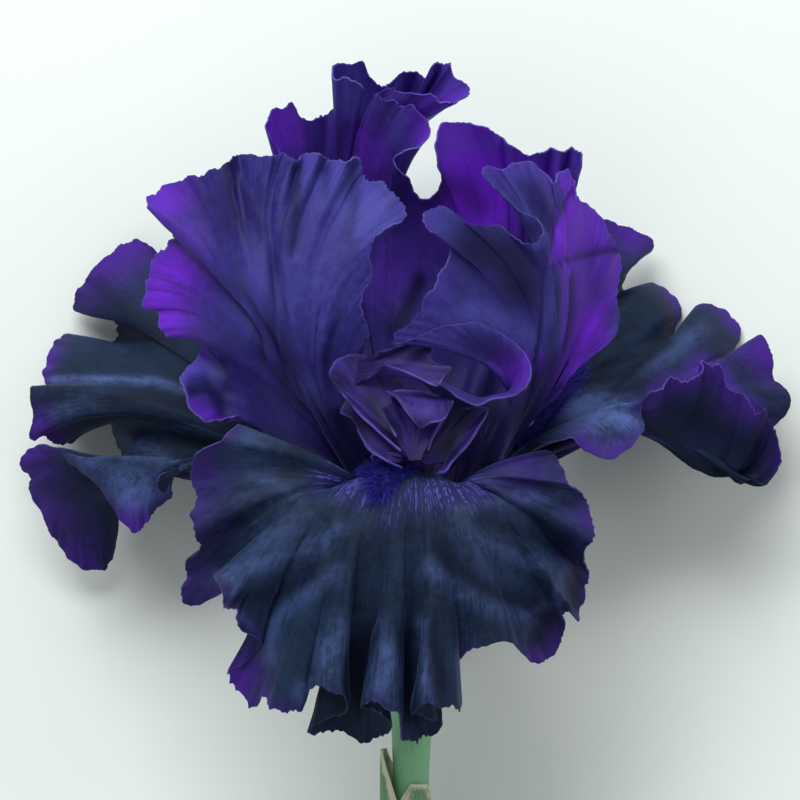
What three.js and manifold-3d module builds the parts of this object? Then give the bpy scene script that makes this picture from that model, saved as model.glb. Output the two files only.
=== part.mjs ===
// A cut bearded iris flower, lying on its back. Millimetres, +Z up.
//
// The flower is drawn in its own frame: +X to its right, +Y up the stem, +Z out through the front
// fall, with the zero point under the front beard. Two angles then lay it down, so that it rests
// on its two back falls and on the cut end of its stem.
import * as THREE from "three";
import Module from "manifold-3d";
import { mergeVertices } from "three/addons/utils/BufferGeometryUtils.js";

const wasm = await Module();
wasm.setup();

// Driving dimensions
const PETAL_THICK = 0.9;
const STYLE_THICK = 0.8;
const SPATHE_THICK = 0.7;
const STEM_AXIS_X = 2;
const STEM_RADIUS = 3.9;
const STEM_END_RADIUS = 4.2;
const STEM_TOP = -62;
const STEM_END = -150;
const TUBE_MOUTH = -10.4;
const TUBE_MOUTH_RADIUS = 6.4;
const CLAW_FOOT = -9.5;
const CLAW_RING = 6;
const CLAW_HALF_WIDTH = 2.6;
const STYLE_RING = 1.8;
const STYLE_HALF_WIDTH = 1.5;
const STAMEN_RING = 3.9;
const STAMEN_RADIUS = 0.65;
const BEARD_GAP = 0.5;
const BEARD_HEIGHT = 2;
const LEAN = THREE.MathUtils.degToRad(14.07);
const ROLL = THREE.MathUtils.degToRad(0.2);

const COLOURS = {
  fall: 0x1c1a3c,
  standard: 0x3d2a8c,
  style: 0x4b3490,
  beard: 0x26209a,
  stamen: 0xb9b4c4,
  green: 0x8fae95,
  spathe: 0xc9cfa8,
};

function finish(colour) {
  return new THREE.MeshStandardMaterial({ color: colour, roughness: 0.7, metalness: 0 });
}

// Each petal is a fan of lines that leave its claw, bend over its belly and end on its margin.
// side: the way the claw faces round the stem, in degrees from the front. belly: where the lines
// bend, from the first edge of the petal to the last. margin: the ruffled edge, in order. smooth:
// how many margin points the unruffled edge is averaged over. ruffle: how closely the ruffles keep
// to the edge. swells: where the face hangs or stands out from its lines (at: how far along the
// margin, wide: over how much of it, out: how near to the edge, by: how far).
const PETALS = {
  fall_front: {
    side: 0,
    belly: [
      [-6, 2, 40], [-16, 12, 46], [-8, 24, 52], [-2, 25, 54], [4, 24, 52], [14, 13, 46],
      [9, 3, 38],
    ],
    smooth: 7,
    ruffle: 6,
    margin: [
      [-36, 11.5, 27], [-40, 8, 29], [-45.5, 5, 24], [-46.5, 0, 20], [-45, -5, 21], [-46.3, -8, 25],
      [-45.5, -12.5, 26], [-44, -15, 22], [-47.2, -19, 17], [-46.6, -22, 14], [-48.4, -25.5, 12],
      [-47, -28.3, 11], [-42, -26.5, 14], [-39, -24.5, 20], [-41, -21.5, 27], [-39, -25, 34],
      [-38.4, -28.2, 35], [-35.6, -28.5, 34], [-36, -31.4, 33], [-33.5, -33.8, 31], [-30.5, -35.5, 28],
      [-33.5, -39.5, 24], [-38.2, -43, 20], [-35.5, -46.5, 20], [-32.5, -49.3, 23], [-30, -48, 28],
      [-28, -49.8, 33], [-25.5, -51, 34], [-22.5, -50.2, 34], [-20.8, -48.5, 33], [-20, -46, 35],
      [-16.5, -45.2, 40], [-12, -47.6, 41], [-12.6, -50.5, 36], [-18, -53, 31], [-20.6, -55.2, 28],
      [-17, -55, 25], [-12.5, -54.5, 24], [-8.3, -57, 25], [-4, -56.2, 27], [-2.4, -52.5, 31],
      [-5.5, -50.5, 35], [-9.3, -48.9, 40], [-6, -48.4, 43], [-2.5, -49.5, 43], [0, -51, 41],
      [-0.6, -53.5, 36], [0.6, -56.3, 32], [3, -56.7, 29], [5.5, -55.4, 29], [8.4, -53.2, 31],
      [5.5, -51.5, 35], [2, -50.2, 40], [5, -48.7, 43], [9, -48.6, 41], [12.3, -50, 36],
      [12.2, -46.5, 32], [10.4, -42, 31], [11.6, -38.8, 33], [15, -36.4, 36], [19.5, -35, 38],
      [23, -34.5, 37], [25, -36.5, 30], [27.5, -39, 25], [31, -38.6, 21], [33.6, -36, 19],
      [34.4, -32, 21], [34.6, -28.5, 26], [35.8, -27.8, 29], [37.4, -30.4, 26], [38.2, -26.5, 20],
      [39.2, -22.5, 16], [39.8, -19.5, 15], [38.6, -17.2, 20], [39, -14.5, 27], [40.5, -12, 29],
      [40.3, -8, 24], [39.5, -5, 21], [37.5, -1.7, 24], [35, -0.4, 29], [34, 2, 26], [32.5, 5.5, 23],
      [30, 7, 25],
    ],
  },
  fall_left: {
    side: 240,
    belly: [
      [-27, 3, 1], [-58, 16, 0], [-74, 10, -5], [-74, 12, -8], [-58, 20, -12], [-60, 24, -6],
      [-54, 30, -9], [-50, 32, -14], [-16, 15, -12],
    ],
    smooth: 4,
    ruffle: 3.4,
    margin: [
      [-38, 4, -2], [-46, 3.4, -4], [-50, 1.5, -3], [-53.3, -0.4, -4], [-52.6, -3.4, -8],
      [-50.4, -4.6, -10], [-54, -8, -9], [-56, -11.6, -8], [-58, -12.4, -8], [-60.6, -10, -9],
      [-64, -4.6, -11], [-68, -0.3, -13], [-72.4, 2.8, -15], [-77, 6.3, -18], [-81, 5.2, -21],
      [-83, 2, -23], [-80.6, -0.6, -24], [-80.8, -3.2, -25], [-78.4, -8, -26], [-76.2, -12.6, -27],
      [-73, -17, -28], [-70, -20, -29], [-64.8, -20.7, -30], [-62.6, -18, -31], [-61.4, -9, -33],
      [-61, -1, -35], [-61.2, 5, -37], [-62.6, 8.4, -38], [-64.4, 12.4, -36], [-69, 10.6, -33],
      [-71.4, 7.4, -30], [-75, 6.2, -28], [-78, 8, -26], [-80.8, 7.2, -25], [-80.4, 12, -25],
      [-81.2, 18.4, -28], [-78.6, 17.4, -33], [-76.8, 17.6, -38], [-78.2, 20, -42],
      [-77.6, 25, -45], [-75.6, 29, -48], [-73, 30.2, -49], [-70, 28.2, -48], [-65.6, 27.2, -48],
      [-62.8, 29, -49], [-62.6, 32.4, -50], [-64.4, 34.6, -50],
      [-71.6, 35.2, -48], [-72.2, 37.4, -47], [-70, 42, -47], [-65, 47.4, -48], [-62, 50, -49],
      [-58.4, 51, -48], [-55, 48.6, -45], [-53, 44, -41], [-50, 38, -37],
    ],
  },
  fall_right: {
    side: 120,
    belly: [
      [18, 17, -12], [36, 37, -12], [42, 41, -14], [50, 26, -10], [56, 24, -8], [60, 22, -10],
      [56, 26, -8], [52, 26, -6], [48, 24, -4], [46, 24, -2], [44, 23, 0], [42, 24, 2], [24, 6, 3],
    ],
    swells: [{ at: 0.7, wide: 0.1, out: 6, by: [1, -18, -8] }],
    smooth: 4,
    ruffle: 3.4,
    margin: [
      [34, 38, -27], [36, 50, -38], [41, 56.4, -42], [45.6, 55.8, -45], [48, 54.8, -47],
      [51, 53.4, -48], [52.8, 51.2, -48], [49.6, 48, -49], [46.6, 44.6, -48], [46.2, 41.2, -47],
      [49, 42, -48], [52.6, 43, -49], [57, 40.4, -50], [59, 36.6, -50], [57.4, 33.4, -50],
      [57.8, 31, -46], [60, 34.4, -43], [61.6, 37.8, -45], [64.6, 38.8, -48], [68, 37.6, -50],
      [71, 34.8, -50], [71.4, 31, -47], [69.4, 27.6, -42], [71.5, 28, -36], [75.4, 32.2, -36],
      [77.8, 30, -34], [78.6, 26, -32], [79, 22.6, -30], [82, 20, -28], [82.4, 16.6, -26],
      [79, 12.5, -25], [73, 7, -22], [69, 3, -16], [69.6, 1.4, -11], [72, 0, -9], [74.4, 1.2, -8],
      [77.2, 0.4, -7], [79.2, 3, -7], [80.6, 7, -8], [79.2, 12.5, -8], [77.6, 16, -6],
      [75.6, 17.2, -4], [72, 21.2, -4], [69, 21.8, -3], [67.4, 25.4, -2], [65, 28, 0],
      [62.8, 27, 1], [63.2, 25.2, 2], [60, 23.4, 2], [56, 23, 2], [54.4, 20.6, 3], [52.4, 20, 4],
      [50.6, 18, 3], [50.2, 14.8, 1], [51, 12, 0], [49.8, 9.6, 1], [47.4, 7, 3], [44, 5, 5],
      [38.4, 6.6, 6], [35.6, 9.4, 7], [33, 9, 9], [29, 8.4, 8],
    ],
  },
  standard_left: {
    side: 300,
    belly: [
      [-24, 1, 7], [-30, 26, 30], [-31, 33, 36], [-37, 34, 42], [-34, 30, 36], [-34, 22, 26],
      [-8, -1, 9],
    ],
    smooth: 6,
    ruffle: 9,
    margin: [
      [-34, 14, 9], [-39, 12.6, 14], [-44.2, 12, 17], [-47.6, 16.5, 17], [-48.8, 21, 13],
      [-46.6, 24, 8], [-44.6, 26.5, 3], [-45, 29.6, -1], [-48.5, 30.2, -2], [-51.4, 29.6, -1],
      [-53.4, 32, -1], [-54.4, 35.6, -3], [-57, 36, -4], [-56.8, 40, -3], [-55.4, 46, -1],
      [-52, 50, -1], [-50.6, 52.2, 1], [-53, 55.4, 6], [-57, 58.6, 8], [-55.4, 61, 5],
      [-50, 63.5, 4], [-45, 65.3, 6], [-41, 66.5, 9], [-38.8, 68, 14], [-36.6, 69.6, 10],
      [-33, 69.4, 14], [-29.6, 69, 18], [-27, 70.2, 14], [-24.6, 68.4, 18], [-22.4, 69.6, 14],
      [-19, 70.2, 17], [-17.6, 68.6, 13], [-15, 68.4, 17], [-12.4, 69, 19], [-10.2, 68.8, 15],
      [-9.8, 65.6, 14], [-6, 64, 17], [-3, 61.6, 20], [0, 59, 24], [-1, 56, 27], [-4.5, 54.2, 29],
      [-7.4, 51.6, 30], [-8.2, 48, 30], [-7.6, 43.4, 31], [-9.8, 39.6, 31], [-9.6, 35.6, 32],
      [-8, 32.6, 32], [-9, 29.6, 30], [-13, 27, 21], [-15, 21, 17], [-12, 14, 14], [-9, 8, 12],
      [-7, 3, 10],
    ],
  },
  standard_right: {
    side: 60,
    belly: [
      [20, 14, 10], [26, 17, 18], [40, 19, 21], [46, 26, 24], [46, 30, 28], [43, 35, 34],
      [41, 33, 26], [38, 26, 12], [24, 8, 4],
    ],
    smooth: 3.5,
    ruffle: 5.5,
    margin: [
      [-4.4, 26.4, 28.6], [-2.2, 24.4, 29.8], [2, 22.2, 31.6], [7.4, 20.2, 32.8],
      [11.5, 17.3, 33], [14.6, 16.2, 33], [18.5, 17.6, 32], [23, 18.4, 30],
      [26, 21, 28], [26.5, 25, 27], [24, 28.7, 28], [19.5, 32, 30], [14, 34, 32], [9, 33.6, 33],
      [4, 32, 34.5], [0, 30, 36], [-4, 29.2, 36.5], [-3, 31.4, 35.5], [0.5, 34, 34], [3, 38.6, 33],
      [5.5, 43, 32], [7.3, 46.5, 31], [8.5, 49.4, 30.5], [6.6, 52, 31.5], [3.4, 53.8, 33],
      [2.2, 56, 32], [4, 58.2, 29], [7, 59, 27], [9.6, 57, 26], [11.6, 55, 27], [15, 54.7, 26],
      [19, 54.7, 26], [22, 52.4, 27], [24.6, 50.9, 29], [27.2, 51.4, 29], [28.3, 53.8, 27],
      [27, 56.4, 24], [23.4, 58, 21], [19, 62, 17], [14.6, 66.4, 14], [16.4, 67.7, 12],
      [19.5, 66.8, 14], [22.4, 68.6, 11], [26, 68.4, 10], [29, 66, 12], [30.4, 64, 14],
      [31.4, 66.2, 11], [33.2, 67.2, 9], [35, 65, 8], [34.8, 62.8, 9], [36, 61, 6], [39, 59, 2],
      [41.4, 56.4, 1], [42.8, 53.4, 2], [44.6, 50.4, 0], [45.4, 48, -3], [45.2, 44, -2],
      [44.7, 40, -1], [45.4, 35.4, -3], [44.6, 31.6, -2], [42, 29, 0], [38, 27, 2], [34.6, 26, 4],
    ],
  },
  standard_back: {
    side: 180,
    belly: [
      [29, 20, -44], [27, 30, -50], [28, 36, -44], [22, 38, -46], [-8, 42, -50], [-14, 43, -52],
      [-12, 44, -54], [-8, 44, -54], [-8, 43, -54], [-14, 40, -50], [-20, 36, -46], [-20, 31, -39],
      [-20, 26, -32],
    ],
    swells: [{ at: 0.53, wide: 0.1, out: 3, by: [-9, 0, 0] }],
    smooth: 4,
    ruffle: 4,
    margin: [
      [33, 56, -14], [35.4, 63, -10], [36.9, 69.6, -8], [36, 71.6, -9], [34.4, 72.2, -11],
      [32.6, 71, -9], [30.4, 71.8, -12], [28, 71, -10], [25, 70.4, -13], [22, 72, -10],
      [19.6, 73.8, -14], [17, 75.6, -11], [13, 77, -13], [9, 77.4, -11], [6, 76, -8],
      [5.2, 72, -7], [5.6, 68, -8], [6.6, 64.8, -11], [5.6, 61.8, -14], [3, 60.2, -17],
      [0.8, 61.8, -16], [-0.2, 64.6, -13], [-2.4, 66.4, -10], [-3.6, 69, -9], [-1.6, 70.6, -7],
      [2, 71.6, -7], [4.4, 74.6, -8], [3.2, 78, -8], [0.4, 80.4, -8], [-2.4, 80.8, -10],
      [-5, 82, -10], [-7.6, 83, -13], [-4, 84.2, -11], [0, 83.2, -9], [4, 83, -8], [7, 81.4, -8],
      [9.6, 81.2, -9], [12.6, 82.8, -13], [13, 84, -18], [11, 86, -21], [9.4, 87.6, -23],
      [9, 90, -22], [6.8, 89.6, -24], [5, 90, -21], [4.4, 87, -23], [1.6, 87.6, -26], [-1.4, 88, -24],
      [-4, 86, -26], [-6.4, 85, -23], [-9, 86.8, -21], [-10.4, 89.6, -19], [-13.4, 89.6, -21],
      [-17, 89, -17], [-16.4, 86, -14], [-13.6, 86.6, -12], [-10.2, 84, -13], [-11, 81, -17],
      [-14.6, 80.4, -21], [-18, 79, -23], [-20.6, 77.4, -20], [-23.4, 77.6, -16], [-25.4, 80.8, -14],
      [-28, 79.8, -13], [-30.4, 78.4, -11], [-31, 75, -9], [-28.4, 71, -10], [-26, 62, -12],
      [-25, 52, -14],
    ],
  },
};

// How finely a petal's edge is drawn, and how far along its lines the rings of corners sit.
const STEPS_PER_MARGIN_POINT = 1.6;
const RINGS = [
  { at: 0, share: 4 },
  { at: 0.16, share: 4 },
  { at: 0.34, share: 4 },
  { at: 0.52, share: 4 },
  { at: 0.66, share: 2 },
  { at: 0.78, share: 2 },
  { at: 0.88, share: 1 },
  { at: 0.95, share: 1 },
  { at: 1, share: 1 },
];

const vector = ([x, y, z]) => new THREE.Vector3(x, y, z);
const curve = (points) => new THREE.CatmullRomCurve3(points, false, "centripetal");

// The edge without its ruffles: each point becomes a weighted mean of its neighbours, and the row
// is turned about its own ends so that they stay where they are.
function unruffled(points, width) {
  const last = points.length - 1;
  const reach = Math.ceil(width * 3);
  const beyond = (end, inner) => end.clone().multiplyScalar(2).sub(inner);
  const at = (i) => {
    if (i < 0) return beyond(points[0], points[Math.min(-i, last)]);
    if (i > last) return beyond(points[last], points[Math.max(2 * last - i, 0)]);
    return points[i];
  };
  return points.map((_, i) => {
    const sum = new THREE.Vector3();
    let weights = 0;
    for (let k = -reach; k <= reach; k++) {
      const weight = Math.exp(-(k * k) / (2 * width * width));
      sum.addScaledVector(at(i + k), weight);
      weights += weight;
    }
    return sum.divideScalar(weights);
  });
}

// A function of (s, t) on the petal: s runs from the claw to the margin, t along the margin.
function fan({ claw, belly, margin, smooth, ruffle, swells = [] }) {
  const edge = margin.map(vector);
  const edgeCurve = curve(edge);
  const plainCurve = curve(unruffled(edge, smooth));
  const bellyCurve = curve(belly.map(vector));
  const [foot, otherFoot] = claw.map(vector);
  return (s, t) => {
    const plain = plainCurve.getPoint(t);
    const wave = edgeCurve.getPoint(t).sub(plain);
    const point = foot
      .clone()
      .lerp(otherFoot, t)
      .multiplyScalar((1 - s) ** 2)
      .addScaledVector(bellyCurve.getPoint(t), 2 * s * (1 - s))
      .addScaledVector(plain, s * s)
      .addScaledVector(wave, s ** ruffle);
    for (const { at, wide, out, by } of swells) {
      const peak = (out / (out + 1)) ** out / (out + 1);
      const share = ((s ** out * (1 - s)) / peak) * Math.exp(-(((t - at) / wide) ** 2));
      point.addScaledVector(vector(by), share);
    }
    return point;
  };
}

// Rings of points across a surface, joined by triangles. A ring has either as many points as the
// one inside it or twice as many.
function ringSheet(surface, count, rings) {
  const points = [];
  const starts = [];
  const faces = [];
  for (const { at, share } of rings) {
    starts.push(points.length);
    const steps = count / share;
    for (let i = 0; i <= steps; i++) points.push(surface(at, i / steps));
  }
  for (let r = 1; r < rings.length; r++) {
    const inner = starts[r - 1];
    const outer = starts[r];
    const steps = count / rings[r - 1].share;
    const doubled = rings[r - 1].share !== rings[r].share;
    for (let i = 0; i < steps; i++) {
      const a = inner + i;
      const b = a + 1;
      if (doubled) {
        const c = outer + 2 * i;
        faces.push([a, c + 1, c], [a, b, c + 1], [b, c + 2, c + 1]);
      } else {
        const c = outer + i;
        faces.push([a, b, c + 1], [a, c + 1, c]);
      }
    }
  }
  return { points, faces };
}

// A closed blade: the sheet moved half its thickness to each side, with the same triangles on both
// faces, and a wall round its edge.
function thicken({ points, faces }, thick) {
  const normals = points.map(() => new THREE.Vector3());
  const edges = new Map();
  for (const face of faces) {
    const [a, b, c] = face.map((i) => points[i]);
    const normal = b.clone().sub(a).cross(c.clone().sub(a));
    face.forEach((i, k) => {
      normals[i].add(normal);
      const next = face[(k + 1) % 3];
      if (!edges.delete(`${next},${i}`)) edges.set(`${i},${next}`, [i, next]);
    });
  }
  const n = points.length;
  const corners = [];
  for (const side of [0.5, -0.5]) {
    points.forEach((p, i) => {
      corners.push(p.clone().addScaledVector(normals[i].normalize(), side * thick));
    });
  }
  const all = [];
  for (const [a, b, c] of faces) all.push([a, b, c], [a + n, c + n, b + n]);
  for (const [a, b] of edges.values()) all.push([b, a, a + n], [b, a + n, b + n]);
  return meshGeometry(corners, all);
}

function meshGeometry(corners, faces) {
  const geometry = new THREE.BufferGeometry();
  const positions = corners.flatMap((p) => [p.x, p.y, p.z]);
  geometry.setAttribute("position", new THREE.Float32BufferAttribute(positions, 3));
  geometry.setIndex(faces.flat());
  return geometry;
}

// The foot of a petal or a style arm: a short line across the ring that the tube's mouth carries.
function footOn(side, ring, halfWidth) {
  const turn = THREE.MathUtils.degToRad(side);
  const out = new THREE.Vector3(Math.sin(turn), 0, Math.cos(turn));
  const across = new THREE.Vector3(Math.cos(turn), 0, -Math.sin(turn));
  const middle = new THREE.Vector3(STEM_AXIS_X, CLAW_FOOT, 0).addScaledVector(out, ring);
  return [-1, 1].map((k) => middle.clone().addScaledVector(across, k * halfWidth).toArray());
}

function petalFan(shape) {
  return fan({ ...shape, claw: footOn(shape.side, CLAW_RING, CLAW_HALF_WIDTH) });
}

function petal(shape) {
  const count = 4 * Math.ceil(((shape.margin.length - 1) * STEPS_PER_MARGIN_POINT) / 4);
  return thicken(ringSheet(petalFan(shape), count, RINGS), PETAL_THICK);
}

// A beard: a ridge of blunt tufts along the middle of a fall, lifted clear of its face.
const BEARDS = {
  beard_front: { fall: "fall_front", middle: 0.43, from: 0.2, to: 0.52, halfWidth: 5.5, face: 1 },
  beard_left: { fall: "fall_left", middle: 0.69, from: 0.17, to: 0.28, halfWidth: 2.2, face: -1 },
  beard_right: { fall: "fall_right", middle: 0.2, from: 0.22, to: 0.46, halfWidth: 3, face: -1 },
};
const BEARD_ROWS = 14;
const BEARD_COLUMNS = 4;
const SMALL_STEP = 0.004;
const LOW_TUFT = 0.6;
const END_TUFT = 0.35;
const WIDEST_REACH = 0.3;

function beard({ fall, middle, from, to, halfWidth, face }) {
  const surface = petalFan(PETALS[fall]);
  const lows = [];
  const highs = [];
  for (let i = 0; i <= BEARD_ROWS; i++) {
    const along = i / BEARD_ROWS;
    const s = from + (to - from) * along;
    const across = surface(s, middle + SMALL_STEP).sub(surface(s, middle - SMALL_STEP));
    const taper = 0.25 + 0.75 * Math.sin(Math.PI * Math.min(1, 0.25 + 0.75 * along));
    const reach = (halfWidth * taper * 2 * SMALL_STEP) / across.length();
    for (let j = 0; j <= BEARD_COLUMNS; j++) {
      const side = (2 * j) / BEARD_COLUMNS - 1;
      const t = middle + face * side * Math.min(WIDEST_REACH, reach);
      const down = surface(s + SMALL_STEP, t).sub(surface(s - SMALL_STEP, t));
      const over = surface(s, t + SMALL_STEP).sub(surface(s, t - SMALL_STEP));
      const normal = down.cross(over).normalize().multiplyScalar(face);
      const tuft = (i + j) % 2 ? 1 : LOW_TUFT;
      const edge = i === 0 || i === BEARD_ROWS ? END_TUFT : Math.sqrt(1.15 - side * side);
      const low = surface(s, t).addScaledVector(normal, PETAL_THICK / 2 + BEARD_GAP);
      lows.push(low);
      highs.push(low.clone().addScaledVector(normal, BEARD_HEIGHT * tuft * edge));
    }
  }
  const n = lows.length;
  const faces = [];
  const quad = (a, b, c, d) => faces.push([a, b, c], [a, c, d]);
  const wall = (a, b) => quad(b, b + n, a + n, a);
  const cell = (i, j) => i * (BEARD_COLUMNS + 1) + j;
  for (let i = 0; i < BEARD_ROWS; i++) {
    for (let j = 0; j < BEARD_COLUMNS; j++) {
      const [a, b, c, d] = [cell(i, j), cell(i + 1, j), cell(i + 1, j + 1), cell(i, j + 1)];
      quad(a + n, b + n, c + n, d + n);
      quad(d, c, b, a);
    }
    wall(cell(i, 0), cell(i + 1, 0));
    wall(cell(i + 1, BEARD_COLUMNS), cell(i, BEARD_COLUMNS));
  }
  for (let j = 0; j < BEARD_COLUMNS; j++) {
    wall(cell(0, j + 1), cell(0, j));
    wall(cell(BEARD_ROWS, j), cell(BEARD_ROWS, j + 1));
  }
  return meshGeometry([...lows, ...highs], faces);
}

// Solids for joining pieces that grow from each other.
function solid(geometry) {
  const bare = geometry.clone();
  bare.deleteAttribute("normal");
  bare.deleteAttribute("uv");
  const merged = mergeVertices(bare, 1e-4);
  return new wasm.Manifold(
    new wasm.Mesh({
      numProp: 3,
      vertProperties: new Float32Array(merged.attributes.position.array),
      triVerts: new Uint32Array(merged.index.array),
    }),
  );
}

function joined(geometries) {
  const mesh = geometries.map(solid).reduce((whole, next) => whole.add(next)).getMesh();
  const geometry = new THREE.BufferGeometry();
  const positions = new Float32Array(mesh.numVert * 3);
  for (let i = 0; i < mesh.numVert; i++) {
    positions.set(mesh.vertProperties.subarray(i * mesh.numProp, i * mesh.numProp + 3), i * 3);
  }
  geometry.setAttribute("position", new THREE.BufferAttribute(positions, 3));
  geometry.setIndex(new THREE.BufferAttribute(mesh.triVerts, 1));
  return geometry;
}

const LEAF_RINGS = [
  { at: 0, share: 2 },
  { at: 0.35, share: 2 },
  { at: 0.7, share: 1 },
  { at: 1, share: 1 },
];

function leaf(shape) {
  const count = 2 * Math.ceil(shape.margin.length * 0.6);
  const surface = fan({ smooth: 1.5, ruffle: 2, ...shape });
  return thicken(ringSheet(surface, count, LEAF_RINGS), STYLE_THICK);
}

// The front style arm: a roof over the beard, and the crests that stand up from its lip.
const FRONT_STYLE = [
  {
    claw: footOn(0, STYLE_RING, STYLE_HALF_WIDTH),
    belly: [[-3, 10, 12], [1.5, 14, 17], [6, 10, 12]],
    margin: [
      [-7, 3.4, 21], [-7.4, 5, 26], [-4, 5.4, 32], [1.4, 4.6, 36.4], [6, 5.4, 32], [9, 5, 26],
      [9, 3.4, 21],
    ],
  },
  {
    claw: [[-1.4, 3.6, 34.4], [1, 5.4, 34]],
    belly: [[-6.4, 4, 31], [-4.6, 8, 28], [-1, 12, 26]],
    margin: [
      [-0.6, 2.6, 37.2], [-3.2, 3.7, 36.4], [-6, 5.2, 33.8], [-8.2, 6.6, 30], [-10.2, 9.8, 27.4],
      [-12, 13.4, 25], [-14.4, 14.6, 22.6], [-12, 18, 21], [-8, 18.4, 22], [-4, 18, 24],
    ],
  },
  {
    claw: [[-0.6, 5.2, 35.8], [1.6, 6, 35]],
    belly: [[-7, 11, 33], [-7, 14, 28], [-2, 16, 27]],
    margin: [
      [-1, 6.2, 36], [-4.2, 8.8, 35], [-7.4, 11.6, 33], [-10, 13.8, 31], [-12.4, 16.6, 29],
      [-15, 19.6, 26.8], [-16.8, 22, 26], [-16, 25, 27], [-13, 26.8, 27.4], [-9, 26.8, 28],
      [-4, 24, 28.4], [-1, 21, 29],
    ],
  },
  {
    claw: [[0.6, 4.2, 36.6], [3, 4.2, 36.2]],
    belly: [[-3, 10, 36], [0, 13, 33], [3, 13, 32], [6, 11, 33]],
    margin: [
      [-2.2, 9.4, 36.4], [-4.2, 12.6, 35.6], [-5.4, 15.4, 34.4], [-3.6, 16.6, 33.4],
      [-3.4, 18.8, 32.2], [2, 19.4, 31.4], [6.8, 18.2, 31.2], [8.6, 16.6, 31.2], [7.6, 13, 33],
      [5.8, 9.4, 34.6], [4.6, 6.4, 35.6],
    ],
  },
  {
    claw: [[-3.6, 18.4, 32.2], [8.4, 17.4, 31.2]],
    belly: [[-2.4, 18.6, 35], [0, 17.4, 36.4], [4, 16.8, 37], [7.6, 17, 35.6], [9.8, 17, 33.4]],
    margin: [
      [-4.4, 18.9, 33.4], [-1.8, 16.8, 35.6], [-0.4, 14.8, 36.6], [1.2, 12.8, 37.2],
      [2.8, 11, 37.4], [5, 12, 37.2], [7.6, 12.8, 36.4], [8.8, 14.6, 35], [9.8, 16.8, 32.6],
    ],
  },
  {
    claw: [[2.6, 4, 35.6], [4.8, 3.2, 34.6]],
    belly: [[6, 9, 28], [9, 8, 26], [10, 5, 28]],
    margin: [
      [10, 16, 27.4], [13, 15.8, 27.6], [15, 16.4, 26.4], [17.6, 15.6, 25.8], [15.8, 12, 28],
      [14, 8.8, 29.6], [12.2, 6.6, 30.8], [9.6, 3.8, 32.4], [8.2, 1.8, 33.6], [6.4, 1.4, 34.6],
    ],
  },
  {
    claw: [[-11, 20, 27.8], [-10.4, 25, 27.8]],
    belly: [[-6.4, 22.6, 32], [-3, 25.2, 33], [-4.4, 27.4, 32.4]],
    margin: [
      [-5, 24.7, 33.6], [-1.4, 23.6, 34.6], [2, 22.2, 35.4], [5, 20.7, 36], [7, 20.2, 36.2],
      [8.2, 22, 36], [9.8, 24, 36], [7, 24.6, 34.8], [5.2, 25.8, 33.2], [5.2, 28, 31.2],
      [5, 29.8, 30.2], [1, 29.4, 31.3], [-3, 28.2, 32.6], [-7, 27.2, 31.2],
    ],
  },
];

// A side style arm and its two crests, drawn as if it pointed to the front and then turned.
// lift: how far its tip is raised.
const ARM_LENGTH = 30;

function sideStyle(side, lift) {
  const arm = {
    claw: [[-STYLE_HALF_WIDTH, CLAW_FOOT, STYLE_RING], [STYLE_HALF_WIDTH, CLAW_FOOT, STYLE_RING]],
    belly: [[-3.6, 11, 10], [0, 15, 15], [3.6, 11, 10]],
    margin: [
      [-4.2, 7, 17], [-4.6, 9, 22], [-3, 11, 28], [0, 11.4, 31], [3, 11, 28], [4.6, 9, 22],
      [4.2, 7, 17],
    ],
  };
  const crests = [-1, 1].map((k) => ({
    claw: [[k * 0.6 - 1, 11.4, 29.4], [k * 0.6 + 1, 11.4, 29.4]],
    belly: [[k * 2 - 2, 16, 29], [k * 2, 17, 28], [k * 2 + 2, 16, 29]],
    margin: [
      [k * 3 - 3, 15, 28.4], [k * 3.4 - 2.6, 18, 26.4], [k * 3.8, 20, 24],
      [k * 3.4 + 2.6, 18, 26.4], [k * 3 + 3, 15, 28.4],
    ],
  }));
  const raised = ([x, y, z]) => [x, y + (lift * z) / ARM_LENGTH, z];
  const pieces = [arm, ...crests].map(({ claw, belly, margin }) =>
    leaf({ claw: claw.map(raised), belly: belly.map(raised), margin: margin.map(raised) }),
  );
  return joined(pieces)
    .rotateY(THREE.MathUtils.degToRad(side))
    .translate(STEM_AXIS_X, 0, 0);
}

// A stamen: a filament under its style arm, thickened into the anther. rise: how steeply it
// stands, in millimetres for each bend of its path.
const STAMEN_STEPS = 16;
const STAMEN_SIDES = 6;
const STAMEN_TIP_RADIUS = 0.3;
const ANTHER_START = 0.62;
const ANTHER_SWELL = 0.5;

function stamen(side, rise) {
  const path = curve([
    [0, CLAW_FOOT - 0.3, STAMEN_RING],
    [0, -3.4 + rise, 10],
    [0, 1.6 + 2 * rise, 16],
    [0, 3.6 + 3 * rise, 21.5],
    [0, 4 + 4 * rise, 25.5],
  ].map(vector));
  const corners = [path.getPoint(0)];
  for (let i = 0; i <= STAMEN_STEPS; i++) {
    const t = i / STAMEN_STEPS;
    const up = new THREE.Vector3(1, 0, 0).cross(path.getTangent(t)).normalize();
    const anther = t > ANTHER_START ? Math.sqrt(Math.sin((Math.PI * (t - 0.6)) / 0.44)) : 0;
    const swollen = 1 + ANTHER_SWELL * anther;
    const radius = i === STAMEN_STEPS ? STAMEN_TIP_RADIUS : STAMEN_RADIUS * swollen;
    for (let k = 0; k < STAMEN_SIDES; k++) {
      const turn = (2 * Math.PI * k) / STAMEN_SIDES;
      const corner = path.getPoint(t).addScaledVector(up, radius * Math.sin(turn));
      corner.x += radius * Math.cos(turn) * swollen;
      corners.push(corner);
    }
  }
  corners.push(path.getPoint(1));
  return capped(corners, STAMEN_STEPS, STAMEN_SIDES)
    .rotateY(THREE.MathUtils.degToRad(side))
    .translate(STEM_AXIS_X, 0, 0);
}

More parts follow.
